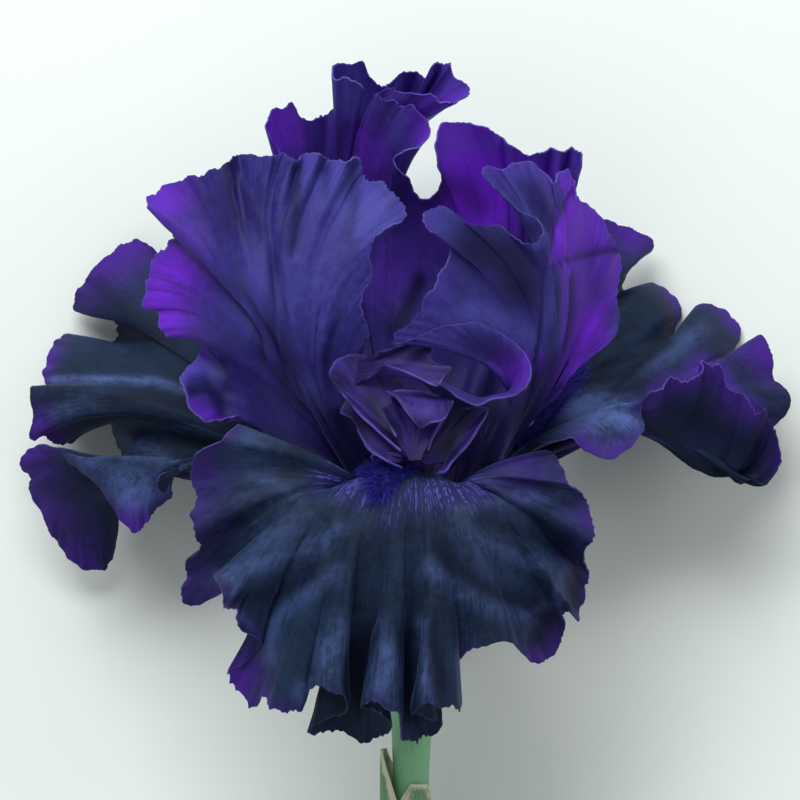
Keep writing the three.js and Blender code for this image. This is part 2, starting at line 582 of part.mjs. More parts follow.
// Rings of corners with a point at each end, as one closed mesh.
function capped(corners, steps, sides) {
  const faces = [];
  const at = (i, k) => 1 + i * sides + (k % sides);
  const last = corners.length - 1;
  for (let k = 0; k < sides; k++) {
    faces.push([0, at(0, k), at(0, k + 1)], [last, at(steps, k + 1), at(steps, k)]);
    for (let i = 0; i < steps; i++) {
      const [a, b, c, d] = [at(i, k), at(i + 1, k), at(i + 1, k + 1), at(i, k + 1)];
      faces.push([a, b, c], [a, c, d]);
    }
  }
  return meshGeometry(corners, faces);
}

// The perianth tube and the ovary under it, with three blunt ridges on the ovary.
const OVARY_PROFILE = [
  [TUBE_MOUTH, TUBE_MOUTH_RADIUS, 0], [-12, 5.6, 0], [-15, 4.3, 0], [-20, 3.3, 0.02],
  [-26, 3, 0.04], [-31, 3.3, 0.07], [-36, 3.9, 0.09], [-43, 4.3, 0.09], [-50, 4.3, 0.08],
  [-56, 4.1, 0.04], [-60, 3.95, 0.02], [STEM_TOP + 0.3, STEM_RADIUS, 0],
];
const OVARY_SIDES = 18;

function ovary() {
  const corners = [new THREE.Vector3(STEM_AXIS_X, OVARY_PROFILE[0][0], 0)];
  for (const [height, radius, ridge] of OVARY_PROFILE) {
    for (let k = 0; k < OVARY_SIDES; k++) {
      const turn = (2 * Math.PI * k) / OVARY_SIDES;
      const r = radius * (1 + ridge * Math.cos(3 * turn));
      corners.push(new THREE.Vector3(STEM_AXIS_X + r * Math.sin(turn), height, r * Math.cos(turn)));
    }
  }
  corners.push(new THREE.Vector3(STEM_AXIS_X, STEM_TOP + 0.3, 0));
  return capped(corners, OVARY_PROFILE.length - 1, OVARY_SIDES);
}

// The stem, straight and a little thicker at its cut end.
const STEM_SIDES = 16;
const STEM_STEPS = 4;

function stem() {
  const corners = [new THREE.Vector3(STEM_AXIS_X, STEM_TOP, 0)];
  for (let i = 0; i <= STEM_STEPS; i++) {
    const along = i / STEM_STEPS;
    const radius = STEM_RADIUS + (STEM_END_RADIUS - STEM_RADIUS) * along;
    for (let k = 0; k < STEM_SIDES; k++) {
      const turn = (2 * Math.PI * k) / STEM_SIDES;
      corners.push(
        new THREE.Vector3(
          STEM_AXIS_X + radius * Math.sin(turn),
          STEM_TOP + (STEM_END - STEM_TOP) * along,
          radius * Math.cos(turn),
        ),
      );
    }
  }
  corners.push(new THREE.Vector3(STEM_AXIS_X, STEM_END, 0));
  return capped(corners, STEM_STEPS, STEM_SIDES);
}

// A spathe bract: a sheath round the top of the stem that narrows to its papery tip. facing: the
// way its middle faces. wrap: how far it reaches round the stem to each side, in degrees.
const SPATHES = {
  spathe_inner: { facing: 22, radius: 4.95, wrap: 112, foot: -98, tip: -65, flare: 0 },
  spathe_outer: { facing: 258, radius: 6.1, wrap: 112, foot: -103, tip: -57.5, flare: 0.3 },
};
const SPATHE_ROWS = 8;
const SPATHE_COLUMNS = 10;

function spathe({ facing, radius, wrap, foot, tip, flare }) {
  const points = [];
  const faces = [];
  for (let i = 0; i <= SPATHE_ROWS; i++) {
    const along = i / SPATHE_ROWS;
    const half = wrap * (1 - 0.8 * along ** 3);
    const r = radius + flare * along ** 2;
    for (let j = 0; j <= SPATHE_COLUMNS; j++) {
      const turn = THREE.MathUtils.degToRad(facing + half * ((2 * j) / SPATHE_COLUMNS - 1));
      const height = foot + (tip - foot) * along;
      points.push(new THREE.Vector3(STEM_AXIS_X + r * Math.sin(turn), height, r * Math.cos(turn)));
    }
  }
  const wide = SPATHE_COLUMNS + 1;
  for (let i = 0; i < SPATHE_ROWS; i++) {
    for (let j = 0; j < SPATHE_COLUMNS; j++) {
      const a = i * wide + j;
      faces.push([a, a + 1, a + wide + 1], [a, a + wide + 1, a + wide]);
    }
  }
  return thicken({ points, faces }, SPATHE_THICK);
}

const flower = new THREE.Group();

function place(name, geometry, colour) {
  const mesh = new THREE.Mesh(geometry, finish(colour));
  mesh.name = name;
  flower.add(mesh);
}

for (const [name, shape] of Object.entries(PETALS)) {
  place(name, petal(shape), name.startsWith("fall") ? COLOURS.fall : COLOURS.standard);
}
for (const [name, shape] of Object.entries(BEARDS)) place(name, beard(shape), COLOURS.beard);
place("style_front", joined(FRONT_STYLE.map(leaf)), COLOURS.style);
place("style_left", sideStyle(262, 3), COLOURS.style);
place("style_right", sideStyle(101, 8), COLOURS.style);
place("stamen_front", stamen(0, 0.15), COLOURS.stamen);
place("stamen_left", stamen(262, 1), COLOURS.stamen);
place("stamen_right", stamen(101, 2.4), COLOURS.stamen);
place("ovary", ovary(), COLOURS.green);
place("stem", stem(), COLOURS.green);
for (const [name, shape] of Object.entries(SPATHES)) place(name, spathe(shape), COLOURS.spathe);

// The flower is laid on its back, its lowest points on the table and its middle over the origin.
flower.rotation.set(LEAN, ROLL, 0, "YXZ");
flower.updateMatrixWorld(true);
const box = new THREE.Box3().setFromObject(flower, true);
flower.position.set(-(box.min.x + box.max.x) / 2, -(box.min.y + box.max.y) / 2, -box.min.z);

export default flower;
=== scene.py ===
"""A cut bearded iris flower lying on its back. Metres, the same frame as the CAD model."""
import math

import bpy
import numpy as np
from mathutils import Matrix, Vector


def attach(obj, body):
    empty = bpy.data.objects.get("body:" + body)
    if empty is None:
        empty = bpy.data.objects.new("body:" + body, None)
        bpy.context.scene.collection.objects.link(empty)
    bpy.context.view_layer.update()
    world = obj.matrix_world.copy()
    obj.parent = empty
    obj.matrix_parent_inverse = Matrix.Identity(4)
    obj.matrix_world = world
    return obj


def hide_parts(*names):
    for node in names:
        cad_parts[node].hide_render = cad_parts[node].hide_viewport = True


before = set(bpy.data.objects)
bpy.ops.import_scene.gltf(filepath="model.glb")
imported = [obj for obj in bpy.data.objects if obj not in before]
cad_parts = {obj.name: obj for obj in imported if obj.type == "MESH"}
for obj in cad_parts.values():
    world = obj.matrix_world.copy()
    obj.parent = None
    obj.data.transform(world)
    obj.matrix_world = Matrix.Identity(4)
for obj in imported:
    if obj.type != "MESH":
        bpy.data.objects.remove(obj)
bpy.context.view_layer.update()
bpy.ops.object.select_all(action="DESELECT")

# The flower is drawn in millimetres in its own frame: +X to its right, +Y up the stem, +Z out
# through the front fall. Two angles and a shift, to the table and over the origin, lay it down.
LEAN = math.radians(14.07)
ROLL = math.radians(0.2)
SHIFT = (0.3248, 26.7222, 40.6308)

STEM_AXIS_X = 2
STEM_RADIUS = 3.9
STEM_END_RADIUS = 4.2
SPATHE_FOOT_RADIUS = 4.75
STEM_TOP = -62
STEM_END = -150
TUBE_MOUTH = -10.4
TUBE_MOUTH_RADIUS = 6.4
CLAW_FOOT = -9.5
CLAW_RING = 6
CLAW_HALF_WIDTH = 2.6
STYLE_RING = 1.8
STYLE_HALF_WIDTH = 1.5
STAMEN_RING = 3.9
PETAL_THICK = 0.62
STYLE_THICK = 0.6
SPATHE_THICK = 0.6
SPATHE_WRAP = 112
SPATHE_GRIP = 0.1
BEARD_LIFT = 0.5
BEARD_HEIGHT = 1.3
BEARD_WIDEST = 0.3
BEARD_ROWS = 34
BEARD_COLUMNS = 15
RIDGE_THICK = 0.5
HAIR_RADIUS = 0.085
STEM_OVERLAP = 0.6
CUT_EDGE = 0.3
ARM_LENGTH = 30
FILAMENT_RADIUS = 0.62

# Where the two side style arms point, in degrees from the front.
LEFT_ARM = 262
RIGHT_ARM = 101


def laid(points):
    """Points of the flower's own frame, in millimetres, as metres on the table."""
    points = np.asarray(points, dtype=float)
    x, y, z = points[..., 0], points[..., 1], points[..., 2]
    y, z = (y * math.cos(LEAN) - z * math.sin(LEAN), y * math.sin(LEAN) + z * math.cos(LEAN))
    x, z = (x * math.cos(ROLL) + z * math.sin(ROLL), z * math.cos(ROLL) - x * math.sin(ROLL))
    return (np.stack([x, y, z], -1) + np.array(SHIFT)) / 1000


# Petals, in millimetres of the flower's own frame. side: where the claw stands round the stem, in
# degrees. belly: where the lines from the claw to the margin bend. margin: the ruffled edge, in
# order. smooth: how many margin points the unruffled edge is averaged over. ruffle: how closely
# the ruffles keep to the edge. swells: places where the petal hangs or stands out. fine: the
# height of the small flutes at the edge. roll: the height of the soft unevenness. face: which
# side of the sheet is its upper face. patches: where its surface changes to each tone, as x, y, z,
# radius and strength. creases: lines, seen from the front, along which it stands out or sinks in
# and changes to each tone: one width, or a left and a right one, then height, strength and line.
# Most of these tones are painted light and shade: a painted sheen where ridges face the light, painted
# light shining through the sheet, and painted shade in folds and hollows; only the haft tone is the
# petal's own pale dashes.
PETALS = {
  "fall_front": {
    "face": 1,
    "fine": 0.35,
    "roll": 0.5,
    "creases": {
      "painted_sheen": [
        [2.2, 0.36, 0.4, [[-40, -21.5], [-31.4, -18.7], [-22.7, -15.8], [-14, -11]]],
        [1.8, 0.36, 0.37, [[-29, -38], [-27.5, -31], [-21.8, -25.4], [-14, -19.6]]],
        [1.6, 0.32, 0.32, [[-7.4, -46], [-5.4, -37], [-4.5, -31]]],
        [1.6, 0.32, 0.32, [[5, -46], [5, -38], [3.6, -30]]],
        [2.2, 0.36, 0.4, [[29, -30.2], [20.5, -27.3], [11.8, -23.5], [5, -18.7]]],
        [2, 0.32, 0.37, [[37.8, -18.7], [28, -17.7], [18.6, -13.9], [11.8, -10]]],
        [1.8, 0.23, 0.32, [[36, -1.5], [26, -3.5], [18, -4.5], [11.8, -7.4]]],
        [1.4, 0.18, 0.32, [[-32.4, 0.5], [-27, -1.5], [-22.7, -4.3]]],
        [3, 0.6, 0.56, [[-15.5, -36], [-15.5, -43], [-20, -46]]],
        [2.4, 0.7, 0.53, [[-3.2, -36], [-3.8, -42], [-6, -46]]],
        [1.8, 0.5, 0.46, [[4.3, -42], [5, -46], [8.5, -47.5]]],
        [0.9, 0.4, 0.5, [[33.2, -17.5], [32.6, -24], [34, -29]]],
        [0.9, 0.4, 0.55, [[26, -33], [26.3, -27.5], [33.5, -25.6]]],
        [0.9, 0.3, 0.45, [[-40.6, -20.7], [-35.2, -23.1], [-38.2, -26.5], [-31.4, -33.1],
          [-27.5, -38.9]]],
      ],
      "shade": [
        [2.4, -0.45, 0.7, [[-38, -27], [-29, -25], [-20, -20]]],
        [2, -0.45, 0.75, [[27, -26.5], [18, -23.6], [12, -19.5], [7, -14]]],
        [2, -0.36, 0.6, [[34, -13], [24.5, -11], [16.8, -8]]],
        [3.0, -1.1, 0.95, [[-10.5, -47], [-10, -40], [-7.5, -33]]],
        [2.0, -0.8, 0.9, [[1.5, -49], [1.5, -41], [0, -34]]],
        [2.0, -0.8, 0.85, [[8.5, -48], [8.2, -41], [6, -34]]],
        [2.6, -0.5, 0.85, [[37, -19], [35.8, -26]]],
        [2.8, -0.5, 0.85, [[31.2, -28.5], [28.2, -33]]],
      ],
      "haft": [
        [4.5, 0, 0.8, [[-17, 0], [-12, -1.5], [-8, -3]]],
        [4.5, 0, 0.8, [[3, -3.5], [9, -2.5], [15, -2]]],
        [4.5, 0, 0.48, [[-7, -3], [-4, -8], [0, -4]]],
      ],
    },
    "patches": {
      "backlight": [
        [-45, -8, 22, 8, 0.5], [-46, -22, 14, 9, 0.5], [-44, 2, 22, 6, 0.5], [-36, -44, 21, 8, 1],
        [-31, -50, 28, 5, 1], [38, -20, 18, 8, 0.4], [33, -35, 20, 8, 0.8], [39, -8, 25, 6, 0.4],
        [28, -38, 25, 5, 1], [24, 4, 28, 7, 0.5],
      ],
      "painted_sheen": [
        [20, -12, 40, 12, 0.26], [-30, -10, 36, 11, 0.26], [-34, 6, 30, 7, 0.26], [-4, -44, 42, 6, 0.26],
        [12, -40, 36, 6, 0.26], [-12, -33, 38, 4, 0.5],
      ],
    },
    "side": 0,
    "belly": [
      [-6, 2, 40], [-16, 12, 46], [-8, 24, 52], [-2, 25, 54], [4, 24, 52], [14, 13, 46],
      [9, 3, 38],
    ],
    "smooth": 7,
    "ruffle": 6,
    "margin": [
      [-36, 11.5, 27], [-40, 8, 29], [-45.5, 5, 24], [-46.5, 0, 20], [-45, -5, 21], [-46.3, -8, 25],
      [-45.5, -12.5, 26], [-44, -15, 22], [-47.2, -19, 17], [-46.6, -22, 14], [-48.4, -25.5, 12],
      [-47, -28.3, 11], [-42, -26.5, 14], [-39, -24.5, 20], [-41, -21.5, 27], [-39, -25, 34],
      [-38.4, -28.2, 35], [-35.6, -28.5, 34], [-36, -31.4, 33], [-33.5, -33.8, 31], [-30.5, -35.5, 28],
      [-33.5, -39.5, 24], [-38.2, -43, 20], [-35.5, -46.5, 20], [-32.5, -49.3, 23], [-30, -48, 28],
      [-28, -49.8, 33], [-25.5, -51, 34], [-22.5, -50.2, 34], [-20.8, -48.5, 33], [-20, -46, 35],
      [-16.5, -45.2, 40], [-12, -47.6, 41], [-12.6, -50.5, 36], [-18, -53, 31], [-20.6, -55.2, 28],
      [-17, -55, 25], [-12.5, -54.5, 24], [-8.3, -57, 25], [-4, -56.2, 27], [-2.4, -52.5, 31],
      [-5.5, -50.5, 35], [-9.3, -48.9, 40], [-6, -48.4, 43], [-2.5, -49.5, 43], [0, -51, 41],
      [-0.6, -53.5, 36], [0.6, -56.3, 32], [3, -56.7, 29], [5.5, -55.4, 29], [8.4, -53.2, 31],
      [5.5, -51.5, 35], [2, -50.2, 40], [5, -48.7, 43], [9, -48.6, 41], [12.3, -50, 36],
      [12.2, -46.5, 32], [10.4, -42, 31], [11.6, -38.8, 33], [15, -36.4, 36], [19.5, -35, 38],
      [23, -34.5, 37], [25, -36.5, 30], [27.5, -39, 25], [31, -38.6, 21], [33.6, -36, 19],
      [34.4, -32, 21], [34.6, -28.5, 26], [35.8, -27.8, 29], [37.4, -30.4, 26], [38.2, -26.5, 20],
      [39.2, -22.5, 16], [39.8, -19.5, 15], [38.6, -17.2, 20], [39, -14.5, 27], [40.5, -12, 29],
      [40.3, -8, 24], [39.5, -5, 21], [37.5, -1.7, 24], [35, -0.4, 29], [34, 2, 26], [32.5, 5.5, 23],
      [30, 7, 25],
    ],
  },
  "fall_left": {
    "face": -1,
    "fine": 0.3,
    "roll": 0.5,
    "creases": {
      "painted_sheen": [
        [2, 0.4, 0.42, [[-44, -2], [-52, 4], [-60, 8]]],
        [2, 0.3, 0.37, [[-66, 16], [-74, 13]]],
        [4, 0, 0.86, [[-50, -1], [-54, -3], [-58, -5]]],
        [1.0, 0.2, 0.8, [[-80, 20.2], [-72, 20.2], [-62, 20.3], [-54, 20], [-46, 18]]],
      ],
      "shade": [
        [2, -0.4, 0.7, [[-44, 14], [-56, 17], [-66, 16]]],
        [2.5, 0, 0.6, [[-50, 28], [-60, 34], [-66, 40]]],
      ],
    },
    "patches": {
      "backlight": [
        [-66, 44, -48, 10, 1], [-60, 49, -48, 7, 1], [-58, -11, -8, 5, 1], [-80, 4, -22, 7, 1],
        [-78, -8, -26, 8, 1], [-72, -19, -28, 7, 1], [-78, 9, -26, 5, 1], [-78, 24, -44, 5, 1],
      ],
      "painted_sheen": [
        [-50, 6, -6, 9, 0.2], [-58, -2, -8, 8, 0.53], [-68, 4, -12, 6, 0.53],
      ],
    },
    "side": 240,
    "belly": [
      [-27, 3, 1], [-58, 16, 0], [-74, 10, -5], [-74, 12, -8], [-58, 20, -12], [-60, 24, -6],
      [-54, 30, -9], [-50, 32, -14], [-16, 15, -12],
    ],
    "smooth": 4,
    "ruffle": 3.4,
    "margin": [
      [-38, 4, -2], [-46, 3.4, -4], [-50, 1.5, -3], [-53.3, -0.4, -4], [-52.6, -3.4, -8],
      [-50.4, -4.6, -10], [-54, -8, -9], [-56, -11.6, -8], [-58, -12.4, -8], [-60.6, -10, -9],
      [-64, -4.6, -11], [-68, -0.3, -13], [-72.4, 2.8, -15], [-77, 6.3, -18], [-81, 5.2, -21],
      [-83, 2, -23], [-80.6, -0.6, -24], [-80.8, -3.2, -25], [-78.4, -8, -26], [-76.2, -12.6, -27],
      [-73, -17, -28], [-70, -20, -29], [-64.8, -20.7, -30], [-62.6, -18, -31], [-61.4, -9, -33],
      [-61, -1, -35], [-61.2, 5, -37], [-62.6, 8.4, -38], [-64.4, 12.4, -36], [-69, 10.6, -33],
      [-71.4, 7.4, -30], [-75, 6.2, -28], [-78, 8, -26], [-80.8, 7.2, -25], [-80.4, 12, -25],
      [-81.2, 18.4, -28], [-78.6, 17.4, -33], [-76.8, 17.6, -38], [-78.2, 20, -42],
      [-77.6, 25, -45], [-75.6, 29, -48], [-73, 30.2, -49], [-70, 28.2, -48], [-65.6, 27.2, -48],
      [-62.8, 29, -49], [-62.6, 32.4, -50], [-64.4, 34.6, -50],
      [-71.6, 35.2, -48], [-72.2, 37.4, -47], [-70, 42, -47], [-65, 47.4, -48], [-62, 50, -49],
      [-58.4, 51, -48], [-55, 48.6, -45], [-53, 44, -41], [-50, 38, -37],
    ],
  },
  "fall_right": {
    "face": -1,
    "fine": 0.15,
    "roll": 0.5,
    "creases": {
      "shade": [
        [1.6, -0.4, 0.6, [[36, 21], [46, 23], [56, 30]]],
        [5, 0, 0.7, [[58, 16], [66, 12], [74, 8]]],
        [3, 0, 0.9, [[58, 5], [66, 2], [74, 0]]],
        [1, -0.3, 0.5, [[30, 22], [40, 24], [50, 27]]],
        [0.8, -0.2, 0.4, [[30, 25], [40, 28], [48, 33]]],
        [0.8, -0.2, 0.4, [[33, 18.5], [42, 20], [50, 20]]],
      ],
      "haft": [
        [3, 0, 1, [[15, 4], [19, 7], [24, 11]]],
      ],
      "painted_sheen": [
        [4, 0.2, 1.2, [[31, 17], [40, 16.5], [49, 13]]],
        [2, 0.3, 0.4, [[52, 24], [58, 29], [63, 33]]],
        [3, 0, 0.8, [[37, 9], [43, 6.5], [49, 9]]],
      ],
      "backlight": [
        [3, 0, 1.0, [[37, 8], [43, 5.5], [49, 8]]],
        [2.6, 0, 0.9, [[52, 17], [55, 21], [60, 21.5], [63, 25.5], [66, 24.5], [69, 19], [75, 15]]],
      ],
    },
    "patches": {
      "backlight": [
        [48, 54, -46, 8, 1], [58, 39, -49, 5, 1], [70, 35, -49, 5, 1], [77, 27, -33, 8, 1],
        [65, 26, 0, 6, 1], [56, 22, 2, 5, 1], [74, 19, -5, 7, 1], [80, 8, -8, 5, 1],
      ],
      "painted_sheen": [
        [40, 14, 1, 9, 1.0], [34, 17, 0, 7, 0.7], [48, 24, -8, 9, 0.3],
      ],
    },
    "side": 120,
    "belly": [
      [18, 17, -12], [36, 37, -12], [42, 41, -14], [50, 26, -10], [56, 24, -8], [60, 22, -10],
      [56, 26, -8], [52, 26, -6], [48, 24, -4], [46, 24, -2], [44, 23, 0], [42, 24, 2], [24, 6, 3],
    ],
    "swells": [{ "at": 0.7, "wide": 0.1, "out": 6, "by": [1, -18, -8] }],
    "smooth": 4,
    "ruffle": 3.4,
    "margin": [
      [34, 38, -27], [36, 50, -38], [41, 56.4, -42], [45.6, 55.8, -45], [48, 54.8, -47],
      [51, 53.4, -48], [52.8, 51.2, -48], [49.6, 48, -49], [46.6, 44.6, -48], [46.2, 41.2, -47],
      [49, 42, -48], [52.6, 43, -49], [57, 40.4, -50], [59, 36.6, -50], [57.4, 33.4, -50],
      [57.8, 31, -46], [60, 34.4, -43], [61.6, 37.8, -45], [64.6, 38.8, -48], [68, 37.6, -50],
      [71, 34.8, -50], [71.4, 31, -47], [69.4, 27.6, -42], [71.5, 28, -36], [75.4, 32.2, -36],
      [77.8, 30, -34], [78.6, 26, -32], [79, 22.6, -30], [82, 20, -28], [82.4, 16.6, -26],
      [79, 12.5, -25], [73, 7, -22], [69, 3, -16], [69.6, 1.4, -11], [72, 0, -9], [74.4, 1.2, -8],
      [77.2, 0.4, -7], [79.2, 3, -7], [80.6, 7, -8], [79.2, 12.5, -8], [77.6, 16, -6],
      [75.6, 17.2, -4], [72, 21.2, -4], [69, 21.8, -3], [67.4, 25.4, -2], [65, 28, 0],
      [62.8, 27, 1], [63.2, 25.2, 2], [60, 23.4, 2], [56, 23, 2], [54.4, 20.6, 3], [52.4, 20, 4],
      [50.6, 18, 3], [50.2, 14.8, 1], [51, 12, 0], [49.8, 9.6, 1], [47.4, 7, 3], [44, 5, 5],
      [38.4, 6.6, 6], [35.6, 9.4, 7], [33, 9, 9], [29, 8.4, 8],
    ],
  },
  "standard_left": {
    "face": -1,
    "fine": 0.24,
    "roll": 0.8,
    "creases": {
      "shade": [
        [0.9, 0.5, 0.4, [[-38, 67.7], [-35.4, 61.9], [-32.2, 56.1], [-30.3, 50.4], [-30, 42.7],
          [-29.4, 35], [-28.4, 28.6], [-25.8, 21.6], [-23.3, 15.2]]],
        [0.9, 0.5, 0.5, [[-24.2, 63.8], [-24.9, 58.7], [-26.8, 53.6], [-27.4, 47.2], [-27.4, 38.9],
          [-26.5, 31.2], [-24.6, 24.1], [-22.6, 17.1]]],
        [1.2, -0.6, 0.55, [[-28.9, 48], [-28.7, 38], [-27.8, 30], [-25.2, 18]]],
        [5, 0.9, 1.2, 0, [[-50.8, 53], [-46.3, 49.7], [-42.5, 46.5], [-38, 41.4], [-33.5, 36.3],
          [-30.3, 31.2], [-29, 26]]],
        [0.3, 1.3, -0.5, 0.75, [[-51.4, 52], [-47, 48.9], [-43.2, 45.7], [-38.7, 40.6], [-34.2, 35.5],
          [-31, 30.4], [-29.7, 25.2]]],
        [2.2, 1.2, -0.5, 0.7, [[-38.6, 68], [-38.2, 60], [-36.5, 55]]],
        [1.2, 2.2, -0.6, 0.75, [[-24.4, 66], [-24, 57], [-24.6, 49]]],
        [1, 1.8, -0.5, 0.5, [[-12, 67], [-11.8, 58], [-13, 52]]],
        [1.4, 1, -0.4, 0.4, [[-18.4, 69], [-18.2, 60]]],
        [1.2, 3.2, -0.8, 0.75, [[-39.9, 24.1], [-38, 20.3], [-38.6, 13.5]]],
        [3, 0, 0.5, [[-44, 17], [-45, 14]]],
        [3, 0, 0.5, [[-46, 62], [-42, 58]]],
        [3.5, 0, 0.9, [[-14, 13], [-12, 8], [-9, 4]]],
        [2.2, -0.7, 0.9, [[-45.5, 18.5], [-42.5, 19.5], [-39.8, 17.5], [-38.8, 14]]],
        [6, 0, 0.45, [[-48, 60], [-42, 58], [-38, 56]]],
      ],
      "painted_sheen": [
        [3, 0.5, 0.5, [[-21, 62], [-20, 50], [-21, 36], [-20, 28]]],
        [2.5, 0.3, 0.4, [[-33, 46], [-33.5, 36], [-34, 28]]],
        [1.5, 0.7, 1.3, [[-48.3, 19], [-47, 22.6], [-42, 23.6], [-38.8, 21]]],
        [2.5, 0.2, 1.0, [[-21, 20], [-19, 17], [-16, 16.5]]],
        [7, 0, 1.8, [[-15, 65], [-11, 61], [-8, 56]]],
      ],
      "backlight": [
        [2.2, 0.2, 0.9, [[-45.5, 15], [-43, 13], [-40, 12.8]]],
      ],
    },
    "patches": {
      "backlight": [
        [-53, 38, -2, 11, 1.3], [-50, 31, -2, 8, 1.3], [-52, 60, 7, 6, 1], [-47, 12, 12, 4, 1],
        [-47, 46, 2, 9, 1.3],
      ],
      "painted_sheen": [
        [-8, 60, 20, 10, 0.8], [-22, 66, 17, 9, 0.8], [-32, 67, 15, 5, 0.3], [-20, 40, 30, 16, 0.8],
        [-12, 62, 18, 8, 1.2],
      ],
    },
    "side": 300,
    "belly": [
      [-24, 1, 7], [-30, 26, 30], [-31, 33, 36], [-37, 34, 42], [-34, 30, 36], [-34, 22, 26],
      [-8, -1, 9],
    ],
    "smooth": 6,
    "ruffle": 9,
    "margin": [
      [-34, 14, 9], [-39, 12.6, 14], [-44.2, 12, 17], [-47.6, 16.5, 17], [-48.8, 21, 13],
      [-46.6, 24, 8], [-44.6, 26.5, 3], [-45, 29.6, -1], [-48.5, 30.2, -2], [-51.4, 29.6, -1],
      [-53.4, 32, -1], [-54.4, 35.6, -3], [-57, 36, -4], [-56.8, 40, -3], [-55.4, 46, -1],
      [-52, 50, -1], [-50.6, 52.2, 1], [-53, 55.4, 6], [-57, 58.6, 8], [-55.4, 61, 5],
      [-50, 63.5, 4], [-45, 65.3, 6], [-41, 66.5, 9], [-38.8, 68, 14], [-36.6, 69.6, 10],
      [-33, 69.4, 14], [-29.6, 69, 18], [-27, 70.2, 14], [-24.6, 68.4, 18], [-22.4, 69.6, 14],
      [-19, 70.2, 17], [-17.6, 68.6, 13], [-15, 68.4, 17], [-12.4, 69, 19], [-10.2, 68.8, 15],
      [-9.8, 65.6, 14], [-6, 64, 17], [-3, 61.6, 20], [0, 59, 24], [-1, 56, 27], [-4.5, 54.2, 29],
      [-7.4, 51.6, 30], [-8.2, 48, 30], [-7.6, 43.4, 31], [-9.8, 39.6, 31], [-9.6, 35.6, 32],
      [-8, 32.6, 32], [-9, 29.6, 30], [-13, 27, 21], [-15, 21, 17], [-12, 14, 14], [-9, 8, 12],
      [-7, 3, 10],
    ],
  },
  "standard_right": {
    "face": -1,
    "fine": 0.22,
    "roll": 0.6,
    "creases": {
      "shade": [
        [5, 0.8, 0.5, 0, [[26.4, 26.5], [27.7, 30.7], [28.2, 38.4], [28.7, 46.1], [29.8, 52.3]]],
        [0.4, 1.4, -0.4, 0.85, [[33.0, 28.2], [34, 33.3], [34.4, 38], [34.4, 43.6]]],
        [0.9, 0.7, -0.4, 0.7, [[30.2, 45.8], [34.4, 47.6], [39.5, 48.9], [44.6, 49.7]]],
        [7, 0, 1.0, [[14, 50], [20, 48], [24.5, 42]]],
        [0.8, 2, -0.1, 0.4, [[13.9, 44], [12.8, 50.2], [11, 54.9], [9.5, 57.9]]],
        [3, 0, 0.6, [[27, 62], [28.5, 57], [27, 54]]],
        [3, 0, 0.5, [[22, 27], [14, 29]]],
        [0.2, 1.1, -0.3, 0.85, [[26.4, 26.5], [27.7, 30.7], [28.2, 38.4], [28.7, 46.1], [29.8, 52.3],
          [31.8, 57.9], [33.9, 62]]],
        [1.6, 0, 0.5, [[31.6, 42], [31.4, 36], [30.5, 30]]],
        [4.5, 0, 0.85, [[12, 12], [17, 12], [22, 9]]],
        [3, 0, 0.85, [[31, 27], [28, 20], [24, 13]]],
      ],
      "painted_sheen": [
        [1.3, 0.2, 0.7, [[28, 52], [27, 46], [26.8, 40]]],
        [2.6, 0.2, 0.6, [[13, 38], [15, 33], [20, 32]]],
        [2.4, 0.15, 1.6, [[30.2, 44], [30.2, 38], [29.8, 30]]],
        [1.0, 0.2, 1.3, [[44.3, 44], [44.4, 37], [43.6, 31]]],
        [2.4, 0, 1.0, [[25.5, 50], [27.3, 46], [27.2, 40]]],
        [3.5, 0.1, 1.2, [[13, 36], [20, 34], [26, 31]]],
      ],
      "backlight": [
        [0.3, 12, 0, 1.0, [[28.2, 33], [28.7, 46.1], [29.8, 52.3], [31.8, 57.9]]],
      ],
      "haft": [
        [3, 0, 1.0, [[17, 10.5], [20, 8], [22, 5]]],
      ],
    },
    "patches": {
      "backlight": [
        [44, 44, -2, 8, 1.2], [25, 25, 28, 6, 0.8], [38, 34, 2, 8, 1.2], [37, 24, 6, 6, 1.2],
        [33, 63, 9, 4, 0.8],
      ],
      "painted_sheen": [
        [22, 56, 26, 7, 0.8], [6, 56, 30, 6, 0.8], [14, 44, 28, 9, 0.2],
      ],
    },
    "side": 60,
    "belly": [
      [20, 14, 10], [26, 17, 18], [40, 19, 21], [46, 26, 24], [46, 30, 28], [43, 35, 34],
      [41, 33, 26], [38, 26, 12], [24, 8, 4],
    ],
    "smooth": 3.5,
    "ruffle": 5.5,
    "margin": [
      [-4.4, 26.4, 28.6], [-2.2, 24.4, 29.8], [2, 22.2, 31.6], [7.4, 20.2, 32.8],
      [11.5, 17.3, 33], [14.6, 16.2, 33], [18.5, 17.6, 32], [23, 18.4, 30],
      [26, 21, 28], [26.5, 25, 27], [24, 28.7, 28], [19.5, 32, 30], [14, 34, 32], [9, 33.6, 33],
      [4, 32, 34.5], [0, 30, 36], [-4, 29.2, 36.5], [-3, 31.4, 35.5], [0.5, 34, 34], [3, 38.6, 33],
      [5.5, 43, 32], [7.3, 46.5, 31], [8.5, 49.4, 30.5], [6.6, 52, 31.5], [3.4, 53.8, 33],
      [2.2, 56, 32], [4, 58.2, 29], [7, 59, 27], [9.6, 57, 26], [11.6, 55, 27], [15, 54.7, 26],
      [19, 54.7, 26], [22, 52.4, 27], [24.6, 50.9, 29], [27.2, 51.4, 29], [28.3, 53.8, 27],
      [27, 56.4, 24], [23.4, 58, 21], [19, 62, 17], [14.6, 66.4, 14], [16.4, 67.7, 12],
      [19.5, 66.8, 14], [22.4, 68.6, 11], [26, 68.4, 10], [29, 66, 12], [30.4, 64, 14],
      [31.4, 66.2, 11], [33.2, 67.2, 9], [35, 65, 8], [34.8, 62.8, 9], [36, 61, 6], [39, 59, 2],
